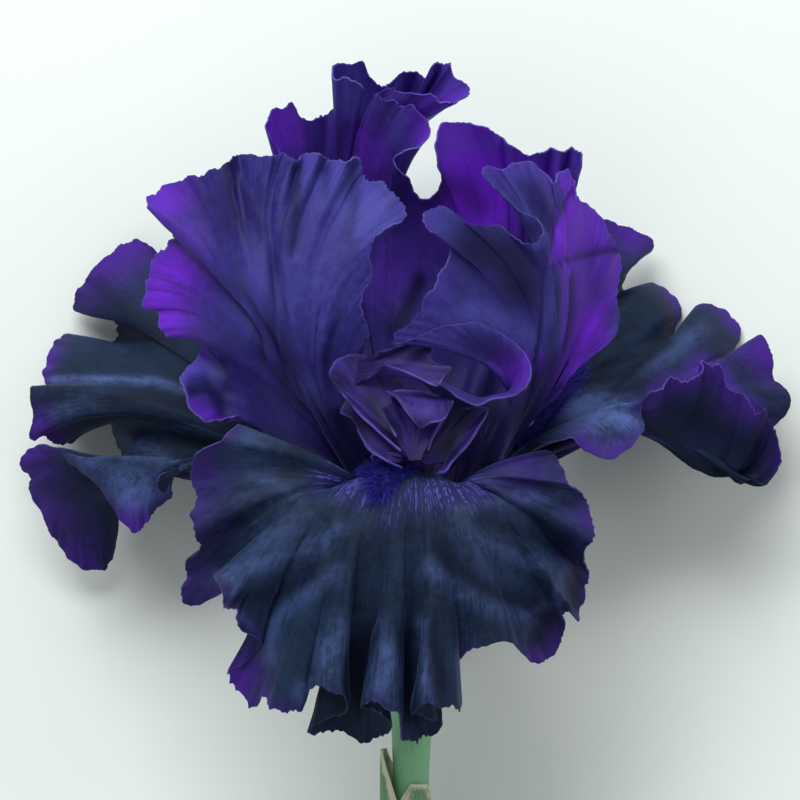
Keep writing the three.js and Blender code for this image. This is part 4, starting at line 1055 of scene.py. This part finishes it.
def beard_hairs(top, normal, down, full, hairs, seed):
    """Hairs over a beard's ridge: longer and flatter at its lower end, and combed to its sides."""
    one, triangles = one_hair()
    rows, columns = full.shape
    pick = np.random.default_rng(seed)
    rows_at = pick.uniform(0, rows - 1.001, hairs)
    columns_at = pick.uniform(0, columns - 1.001, hairs)
    i, j = rows_at.astype(int), columns_at.astype(int)
    u, v = (rows_at - i)[:, None], (columns_at - j)[:, None]

    def between(values):
        return (
            (1 - u) * (1 - v) * values[i, j] + u * (1 - v) * values[i + 1, j]
            + (1 - u) * v * values[i, j + 1] + u * v * values[i + 1, j + 1]
        )

    up, ahead = between(normal), between(down)
    sideways = np.cross(up, ahead)
    root = between(top) - up * 0.3
    lower = (rows_at[:, None] / (rows - 1)) ** 3
    stand = up * (0.9 - 0.5 * lower)
    stand = stand + ahead * (pick.uniform(0.1, 0.9, (hairs, 1)) + 0.8 * lower)
    stand = stand + sideways * pick.normal(0, 0.35, (hairs, 1))
    stand = unit(stand + sideways * ((columns_at / (columns - 1) * 2 - 1) * 0.7)[:, None])
    length = pick.uniform(1.2, 2.5, (hairs, 1))
    length = length * (0.7 + 0.5 * between(full[..., None]) + 0.7 * lower)
    bend = ahead * pick.uniform(-0.2, 0.7, (hairs, 1)) + sideways * pick.normal(0, 0.3, (hairs, 1))
    x_axis = unit(np.cross(stand, ahead + 1e-3))
    y_axis = np.cross(stand, x_axis)
    x, y, z = one[None, :, :1], one[None, :, 1:2], one[None, :, 2:]
    points = root[:, None] + HAIR_RADIUS * (x * x_axis[:, None] + y * y_axis[:, None])
    points = points + z * (length * stand)[:, None] + z**2 * (0.45 * length * bend)[:, None]
    faces = (triangles[None] + (np.arange(hairs) * len(one))[:, None, None]).reshape(-1, 3)
    mesh = bpy.data.meshes.new("beard_hairs")
    mesh.from_pydata(laid(points.reshape(-1, 3)).tolist(), [], faces.tolist())
    coat = bpy.data.objects.new("beard_hairs", mesh)
    bpy.context.scene.collection.objects.link(coat)
    note(coat, "tip", np.tile(one[:, 2], hairs))
    note(coat, "fade", np.repeat(pick.random(hairs), len(one)))
    return coat


def beard(name, fall, middle, start, end, half_width, hairs, seed):
    """A low ridge on a fall's upper face, with the hairs that stand on it."""
    ground = beard_ground(PETALS[fall], middle, start, end, half_width)
    top, normal, down, full, along, side = ground
    notes = {"reach": along, "spread": (side + 1) / 2, "to_edge": along}
    ridge = blade(name, top, RIDGE_THICK, 1, notes)
    coat = beard_hairs(top, normal, down, full, hairs, seed)
    note(ridge, "tip", np.zeros(len(ridge.data.vertices)))
    note(ridge, "fade", np.full(len(ridge.data.vertices), 0.3))
    return joined(name, [ridge, coat])


# Colours, linear.
NAVY = (0.0032, 0.0095, 0.0215)
SLATE = (0.0085, 0.0215, 0.052)
PAINTED_SHEEN_SLATE = (0.072, 0.112, 0.3)
FALL_SHADE = (0.002, 0.0046, 0.016)
PLUM = (0.022, 0.009, 0.09)
FALL_BACKLIT_VIOLET = (0.052, 0.0105, 0.225)
HAFT_VIOLET = (0.012, 0.012, 0.075)
HAFT_WHITE = (0.1, 0.085, 0.4)
HAFT_DARK = (0.006, 0.008, 0.03)
UNDER_DARK = (0.005, 0.0085, 0.026)
UNDER_LIGHT = (0.011, 0.019, 0.062)
RIM_HIGHLIGHT = (0.13, 0.11, 0.36)
SHEEN_BLUE = (0.3, 0.42, 1.0)
INDIGO = (0.019, 0.0145, 0.112)
BLUE_VIOLET = (0.036, 0.03, 0.2)
PAINTED_SHEEN_VIOLET = (0.055, 0.055, 0.28)
STANDARD_BACKLIT_VIOLET = (0.18, 0.021, 0.68)
LILAC = (0.055, 0.026, 0.27)
BASE_SHADE = (0.01, 0.006, 0.05)
VEIN_DARK = (0.014, 0.006, 0.09)
STANDARD_SHADE = (0.006, 0.006, 0.038)
STYLE_DARK = (0.008, 0.005, 0.045)
STYLE_VIOLET = (0.036, 0.02, 0.17)
STYLE_RIM_HIGHLIGHT = (0.11, 0.08, 0.36)
STYLE_HOLLOW_SHADE = (0.003, 0.004, 0.026)
BEARD_DEEP = (0.006, 0.007, 0.08)
BEARD_BLUE = (0.018, 0.016, 0.26)
BEARD_TIP = (0.08, 0.07, 0.5)
FALL_GLOW = (0.035, 0.012, 0.2)
STANDARD_GLOW = (0.14, 0.012, 0.5)
STYLE_GLOW = (0.12, 0.03, 0.4)
FILAMENT = (0.12, 0.07, 0.32)
ANTHER = (0.25, 0.22, 0.4)
POLLEN = (0.4, 0.37, 0.52)
STEM_DARK = (0.065, 0.21, 0.085)
STEM_GREEN = (0.12, 0.33, 0.14)
STEM_WAX = (0.22, 0.48, 0.27)
SHEATH_DARK = (0.13, 0.3, 0.14)
SHEATH_GREEN = (0.24, 0.44, 0.22)
SHEATH_CREAM = (0.8, 0.74, 0.58)
SHEATH_GLOW = (0.5, 0.6, 0.25)
TABLE_GREY = (0.62, 0.66, 0.63)

class Sum:
    """A socket of a material's nodes that takes part in Python's arithmetic."""

    def __init__(self, paint, socket):
        self.paint = paint
        self.socket = socket

    def _math(self, operation, first, second=0.0):
        return self.paint.node("ShaderNodeMath", {"operation": operation}, {0: first, 1: second})

    def __add__(self, other):
        return self._math("ADD", self, other)

    def __sub__(self, other):
        return self._math("SUBTRACT", self, other)

    def __rsub__(self, other):
        return self._math("SUBTRACT", other, self)

    def __mul__(self, other):
        return self._math("MULTIPLY", self, other)

    def __truediv__(self, other):
        return self._math("DIVIDE", self, other)

    def __pow__(self, other):
        return self._math("POWER", self, other)

    __radd__ = __add__
    __rmul__ = __mul__


class Paint:
    """One material and the nodes that draw its pattern."""

    def __init__(self, name):
        self.material = bpy.data.materials.new(name)
        self.material.use_nodes = True
        self.tree = self.material.node_tree
        self.tree.nodes.clear()

    def node(self, kind, settings=None, sockets=None, output=0):
        made = self.tree.nodes.new(kind)
        for key, value in (settings or {}).items():
            setattr(made, key, value)
        for key, value in (sockets or {}).items():
            if isinstance(value, Sum):
                self.tree.links.new(value.socket, made.inputs[key])
            else:
                made.inputs[key].default_value = value
        return Sum(self, made.outputs[output]) if len(made.outputs) else None

    def noted(self, name):
        return self.node("ShaderNodeAttribute", {"attribute_name": name}, output=2)

    def join(self, x, y, z=0.0):
        return self.node("ShaderNodeCombineXYZ", None, {0: x, 1: y, 2: z})

    def place(self):
        return self.node("ShaderNodeTexCoord", output=3)

    def grain(self, vector, scale, detail=2.0, rough=0.5):
        values = {"Vector": vector, "Scale": scale, "Detail": detail, "Roughness": rough}
        return self.node("ShaderNodeTexNoise", None, values)

    def between(self, value, low, high, start=0.0, stop=1.0):
        """start where value is low or less, stop where it is high or more, smooth between."""
        values = {"Value": value, "From Min": low, "From Max": high, "To Min": start, "To Max": stop}
        return self.node("ShaderNodeMapRange", {"interpolation_type": "SMOOTHSTEP"}, values)

    def blend(self, amount, first, second):
        first, second = (v if isinstance(v, Sum) else (*v, 1) for v in (first, second))
        settings = {"data_type": "RGBA", "clamp_factor": True}
        return self.node("ShaderNodeMix", settings, {0: amount, 6: first, 7: second}, output=2)

    def finish(self, colour, uniform, rough=None, height=None, depth=0.0003, through=None):
        """The shader: colour and roughness from nodes or values, and light that passes through."""
        sockets = dict(uniform)
        sockets["Base Color"] = colour
        if rough is not None:
            sockets["Roughness"] = rough
        if height is not None:
            bump = {"Height": height, "Distance": depth, "Strength": 0.7}
            sockets["Normal"] = self.node("ShaderNodeBump", None, bump)
        surface = self.node("ShaderNodeBsdfPrincipled", None, sockets)
        if through is not None:
            share, backlight = through
            lit = self.node("ShaderNodeBsdfTranslucent", None, {"Color": (*backlight, 1)})
            surface = self.node("ShaderNodeMixShader", None, {0: share, 1: surface, 2: lit})
        self.node("ShaderNodeOutputMaterial", None, {"Surface": surface})
        return self.material


def veins(paint, count, sway=2.0, seed=0.0):
    """Streaks from the claw to the margin."""
    lines = paint.join(paint.noted("spread") * count, paint.noted("reach") * sway, seed)
    return paint.grain(lines, 1.0, 3.0, 0.6)


def petal_grains(paint, broad, speckle, streak, fine):
    """A petal's soft blotches, all its unevenness in one, and its relief."""
    broad = paint.grain(paint.place(), broad, 4.0)
    speckle = paint.grain(paint.place(), speckle, 3.0, 0.7)
    streak = veins(paint, *streak)
    fine = veins(paint, *fine, 4.0)
    mixed = streak * 0.3 + broad * 0.4 + speckle * 0.3
    return broad, mixed, streak * 0.25 + fine * 0.35 + speckle * 0.4


def haft_marks(paint, skin):
    """Short pale dashes on a dark violet ground beside a beard."""
    stripe = paint.between(veins(paint, 150.0, 3.0, 9.0), 0.48, 0.6)
    places = paint.join(paint.noted("spread") * 110, paint.noted("reach") * 40)
    dash = paint.between(paint.grain(places, 1.0), 0.4, 0.58)
    haft = paint.between(paint.noted("haft"), 0.1, 0.9)
    skin = paint.blend(haft * 0.75, skin, HAFT_VIOLET)
    return paint.blend(haft * stripe * dash * 0.8, skin, HAFT_WHITE)


def fall_paint():
    paint = Paint("velvet of the falls")
    reach, to_edge = paint.noted("reach"), paint.noted("to_edge")
    broad, mixed, relief = petal_grains(paint, 55.0, 520.0, (430.0, 12.0), (900.0, 26.0))
    skin = paint.blend(paint.between(mixed, 0.4, 0.6), NAVY, SLATE)
    # Painted sheen: pale slate where the velvet's ridges face the light.
    painted_sheen_share = paint.noted("painted_sheen") * paint.between(mixed, 0.4, 0.58, 0.3, 1)
    skin = paint.blend(painted_sheen_share, skin, PAINTED_SHEEN_SLATE)
    edge = paint.between(to_edge, 0.3, 4.5, 0.75, 0.0) * paint.between(broad, 0.42, 0.6, 0.1, 1.0)
    skin = paint.blend(edge, skin, PLUM)
    # Painted light shining through the sheet, as violet.
    backlight = paint.noted("backlight") * paint.between(mixed, 0.4, 0.58, 0.55, 1.0)
    skin = paint.blend(backlight, skin, FALL_BACKLIT_VIOLET)
    skin = paint.blend(paint.between(reach, 0.04, 0.22, 0.9, 0.0), skin, HAFT_DARK)
    skin = haft_marks(paint, skin)
    under = paint.blend(paint.between(mixed, 0.4, 0.6), UNDER_DARK, UNDER_LIGHT)
    # Painted light shining through the undersides as well.
    under = paint.blend(backlight * 0.8, under, FALL_BACKLIT_VIOLET)
    skin = paint.blend(paint.noted("top_face"), under, skin)
    # Painted shade in the folds and hollows.
    skin = paint.blend(paint.noted("shade"), skin, FALL_SHADE)
    # Painted highlight along the margin, where it catches the light.
    rim_highlight = paint.between(to_edge, 0.05, 0.3, 0.5, 0.0) * paint.between(broad, 0.44, 0.6, 0.1, 1.0)
    skin = paint.blend(rim_highlight, skin, RIM_HIGHLIGHT)
    uniform = {
        "Sheen Weight": 0.14,
        "Sheen Roughness": 0.3,
        "Sheen Tint": (*SHEEN_BLUE, 1),
        "Specular IOR Level": 0.1,
    }
    rough = paint.between(mixed, 0.4, 0.6, 0.5, 0.65)
    return paint.finish(skin, uniform, rough, relief, 0.00022, (0.05, FALL_GLOW))


def standard_paint():
    paint = Paint("satin of the standards")
    reach, to_edge = paint.noted("reach"), paint.noted("to_edge")
    broad, mixed, relief = petal_grains(paint, 48.0, 480.0, (330.0, 9.0), (760.0, 20.0))
    body = paint.blend(paint.between(mixed, 0.4, 0.6), INDIGO, BLUE_VIOLET)
    # Painted light shining through the sheet, as bright violet.
    backlight = paint.noted("backlight") * paint.between(mixed, 0.4, 0.58, 0.6, 1.0)
    body = paint.blend(backlight, body, STANDARD_BACKLIT_VIOLET)
    # Painted sheen: pale violet where the surface faces the light.
    painted_sheen_share = paint.noted("painted_sheen") * paint.between(mixed, 0.4, 0.58, 0.35, 1)
    body = paint.blend(painted_sheen_share, body, PAINTED_SHEEN_VIOLET)
    edge = paint.between(to_edge, 0.5, 6.0, 0.45, 0.0) * paint.between(broad, 0.4, 0.6, 0.2, 1.0)
    body = paint.blend(edge, body, LILAC)
    # Painted shade towards the claw, deep in the flower's heart.
    body = paint.blend(paint.between(reach, 0.12, 0.52, 0.88, 0.0), body, BASE_SHADE)
    # Dark veins, drawn stronger where the painted light shines through.
    lines = paint.between(veins(paint, 210.0, 2.0, 7.0), 0.56, 0.68, 0.0, 0.4)
    lines = lines * (backlight * 0.7 + 0.3)
    body = paint.blend(lines, body, VEIN_DARK)
    # Painted shade in the folds and hollows.
    body = paint.blend(paint.noted("shade"), body, STANDARD_SHADE)
    body = haft_marks(paint, body)
    # Painted highlight along the margin, where it catches the light.
    rim_highlight = paint.between(to_edge, 0.05, 0.4, 0.65, 0.0) * paint.between(broad, 0.42, 0.58, 0.15, 1.0)
    body = paint.blend(rim_highlight, body, RIM_HIGHLIGHT)
    uniform = {
        "Sheen Weight": 0.08,
        "Sheen Roughness": 0.35,
        "Sheen Tint": (*SHEEN_BLUE, 1),
        "Specular IOR Level": 0.12,
    }
    rough = paint.between(mixed, 0.4, 0.6, 0.45, 0.6)
    return paint.finish(body, uniform, rough, relief, 0.00022, (0.22, STANDARD_GLOW))


def style_paint():
    paint = Paint("satin of the style arms")
    to_edge = paint.noted("to_edge")
    broad = paint.grain(paint.place(), 90.0, 3.0)
    streak = veins(paint, 22.0, 2.5)
    mixed = streak * 0.5 + broad * 0.5
    body = paint.blend(paint.between(mixed, 0.38, 0.62), STYLE_DARK, STYLE_VIOLET)
    # Painted highlight along the blades' edges.
    rim_highlight = paint.between(to_edge, 0.1, 0.7, 0.7, 0.0) * paint.between(broad, 0.42, 0.58, 0.1, 1.0)
    body = paint.blend(rim_highlight, body, STYLE_RIM_HIGHLIGHT)
    # Painted shade towards the claw, where the blades crowd together.
    body = paint.blend(paint.between(paint.noted("reach"), 0.0, 0.35, 0.6, 0.0), body, STYLE_DARK)
    # Painted shade in the hollows between the blades.
    body = paint.blend(paint.noted("shade"), body, STYLE_HOLLOW_SHADE)
    relief = streak * 0.6 + paint.grain(paint.place(), 2200.0, 2.0) * 0.3
    rough = paint.between(streak, 0.3, 0.7, 0.42, 0.56)
    through = (0.15, STYLE_GLOW)
    return paint.finish(body, {"Specular IOR Level": 0.15}, rough, relief, 0.0002, through)


def beard_paint():
    paint = Paint("hairs of the beards")
    tone = paint.blend(paint.noted("fade"), BEARD_DEEP, BEARD_BLUE)
    tone = paint.blend(paint.noted("tip") ** 3.0 * 0.7 * paint.noted("fade"), tone, BEARD_TIP)
    return paint.finish(tone, {"Roughness": 0.6, "Specular IOR Level": 0.12})


def stamen_paint():
    paint = Paint("pale stamens")
    dust = paint.grain(paint.place(), 900.0, 3.0)
    anther = paint.between(paint.noted("along"), 0.6, 0.66)
    tone = paint.blend(anther, FILAMENT, ANTHER)
    tone = paint.blend(paint.between(dust, 0.4, 0.7, 0.0, 0.6), tone, POLLEN)
    return paint.finish(tone, {"Roughness": 0.7, "Specular IOR Level": 0.2}, None, dust, 0.0004)


def stem_paint():
    paint = Paint("waxy green stem")
    mapped = {"Vector": paint.place(), "Scale": (1500, 35, 1500)}
    streak = paint.grain(paint.node("ShaderNodeMapping", None, mapped), 1.0)
    broad = paint.grain(paint.place(), 60.0, 2.0)
    skin = paint.blend(paint.between(streak, 0.3, 0.7), STEM_DARK, STEM_GREEN)
    skin = paint.blend(paint.between(broad, 0.4, 0.7, 0.15, 0.7), skin, STEM_WAX)
    rough = paint.between(broad, 0.3, 0.7, 0.42, 0.6)
    return paint.finish(skin, {"Specular IOR Level": 0.35}, rough, streak, 0.0002)


def spathe_paint():
    paint = Paint("leafy sheath with papery edges")
    streak = veins(paint, 40.0, 1.5)
    skin = paint.blend(paint.between(streak, 0.3, 0.7), SHEATH_DARK, SHEATH_GREEN)
    ragged = paint.noted("to_edge") + paint.grain(paint.place(), 300.0) * 4 - 2
    skin = paint.blend(paint.between(ragged, 0.3, 2.2, 1.0, 0.0), skin, SHEATH_CREAM)
    rough = paint.between(streak, 0.3, 0.7, 0.5, 0.66)
    through = (0.2, SHEATH_GLOW)
    return paint.finish(skin, {"Specular IOR Level": 0.25}, rough, streak, 0.0004, through)


def wear(piece, paint, slot, *nodes):
    piece.data.materials.clear()
    piece.data.materials.append(paint)
    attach(piece, "root")
    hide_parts(*nodes)


petal_skins = {"fall": fall_paint(), "standard": standard_paint()}
for seed, (name, shape) in enumerate(PETALS.items()):
    kind = name.split("_")[0]
    wear(petal("petal_" + name, shape, 10 * seed + 3), petal_skins[kind], kind, name)

beard_skin = beard_paint()
for seed, (side, spot) in enumerate(BEARDS.items()):
    made = beard("hairy_beard_" + side, "fall_" + side, seed=seed + 70, **spot)
    wear(made, beard_skin, "beard", "beard_" + side)

style_skin = style_paint()
wear(front_style(), style_skin, "style", "style_front")
wear(side_style("arm_style_left", LEFT_ARM, 3), style_skin, "style", "style_left")
wear(side_style("arm_style_right", RIGHT_ARM, 8), style_skin, "style", "style_right")

stamen_skin = stamen_paint()
for side, turn, rise in (("front", 0, 0.15), ("left", LEFT_ARM, 1), ("right", RIGHT_ARM, 2.4)):
    wear(stamen("pale_stamen_" + side, turn, rise), stamen_skin, "stamen", "stamen_" + side)

stem_skin = stem_paint()
wear(ovary(), stem_skin, "stem", "ovary")
wear(stem(), stem_skin, "stem", "stem")
spathe_skin = spathe_paint()
for name, sizes in SPATHES.items():
    wear(spathe("leafy_" + name, **sizes), spathe_skin, "spathe", name)

# The table, the light and the camera.
table = bare("primitive_plane_add", "table", size=6)
cloth = Paint("pale table")
dull = {"Roughness": 0.9, "Specular IOR Level": 0.2}
table.data.materials.append(cloth.finish((*TABLE_GREY, 1), dull))


def softbox(name, place, size, power, colour, aim=(0, 0.03, 0.04)):
    bpy.ops.object.light_add(type="AREA", location=place)
    lamp = bpy.context.object
    lamp.name = name
    lamp.data.size = size
    lamp.data.energy = power
    lamp.data.color = colour
    lamp.rotation_euler = (Vector(aim) - Vector(place)).to_track_quat("-Z", "Y").to_euler()


softbox("sky light", (-0.28, 0.78, 1.0), 0.9, 21, (0.98, 0.99, 1.0))
softbox("side light", (1.2, 0.3, 0.9), 0.9, 5, (1.0, 0.98, 0.97))
softbox("front light", (-0.5, -0.8, 1.4), 1.2, 5, (0.98, 0.99, 1.0))
sky = bpy.data.worlds.new("pale studio")
bpy.context.scene.world = sky
sky.use_nodes = True
sky.node_tree.nodes["Background"].inputs["Color"].default_value = (0.9, 0.95, 1.0, 1)
sky.node_tree.nodes["Background"].inputs["Strength"].default_value = 0.38

SENSOR = 36
VIEW_DISTANCE = 8.0
VIEW_WIDTH = 0.1708
VIEW_CENTRE = (-1.49, 17.08, 12)
aim = Vector(laid([VIEW_CENTRE])[0])
look = (Vector(laid([np.add(VIEW_CENTRE, (0, 0, 1000))])[0]) - aim).normalized()
bpy.ops.object.camera_add(location=aim + look * VIEW_DISTANCE)
camera = bpy.context.object
camera.name = "camera"
camera.rotation_euler = look.to_track_quat("Z", "Y").to_euler()
camera.data.sensor_width = SENSOR
camera.data.lens = SENSOR * VIEW_DISTANCE / VIEW_WIDTH
camera.data.clip_end = 40
bpy.context.scene.camera = camera
bpy.context.scene.view_settings.view_transform = "Standard"
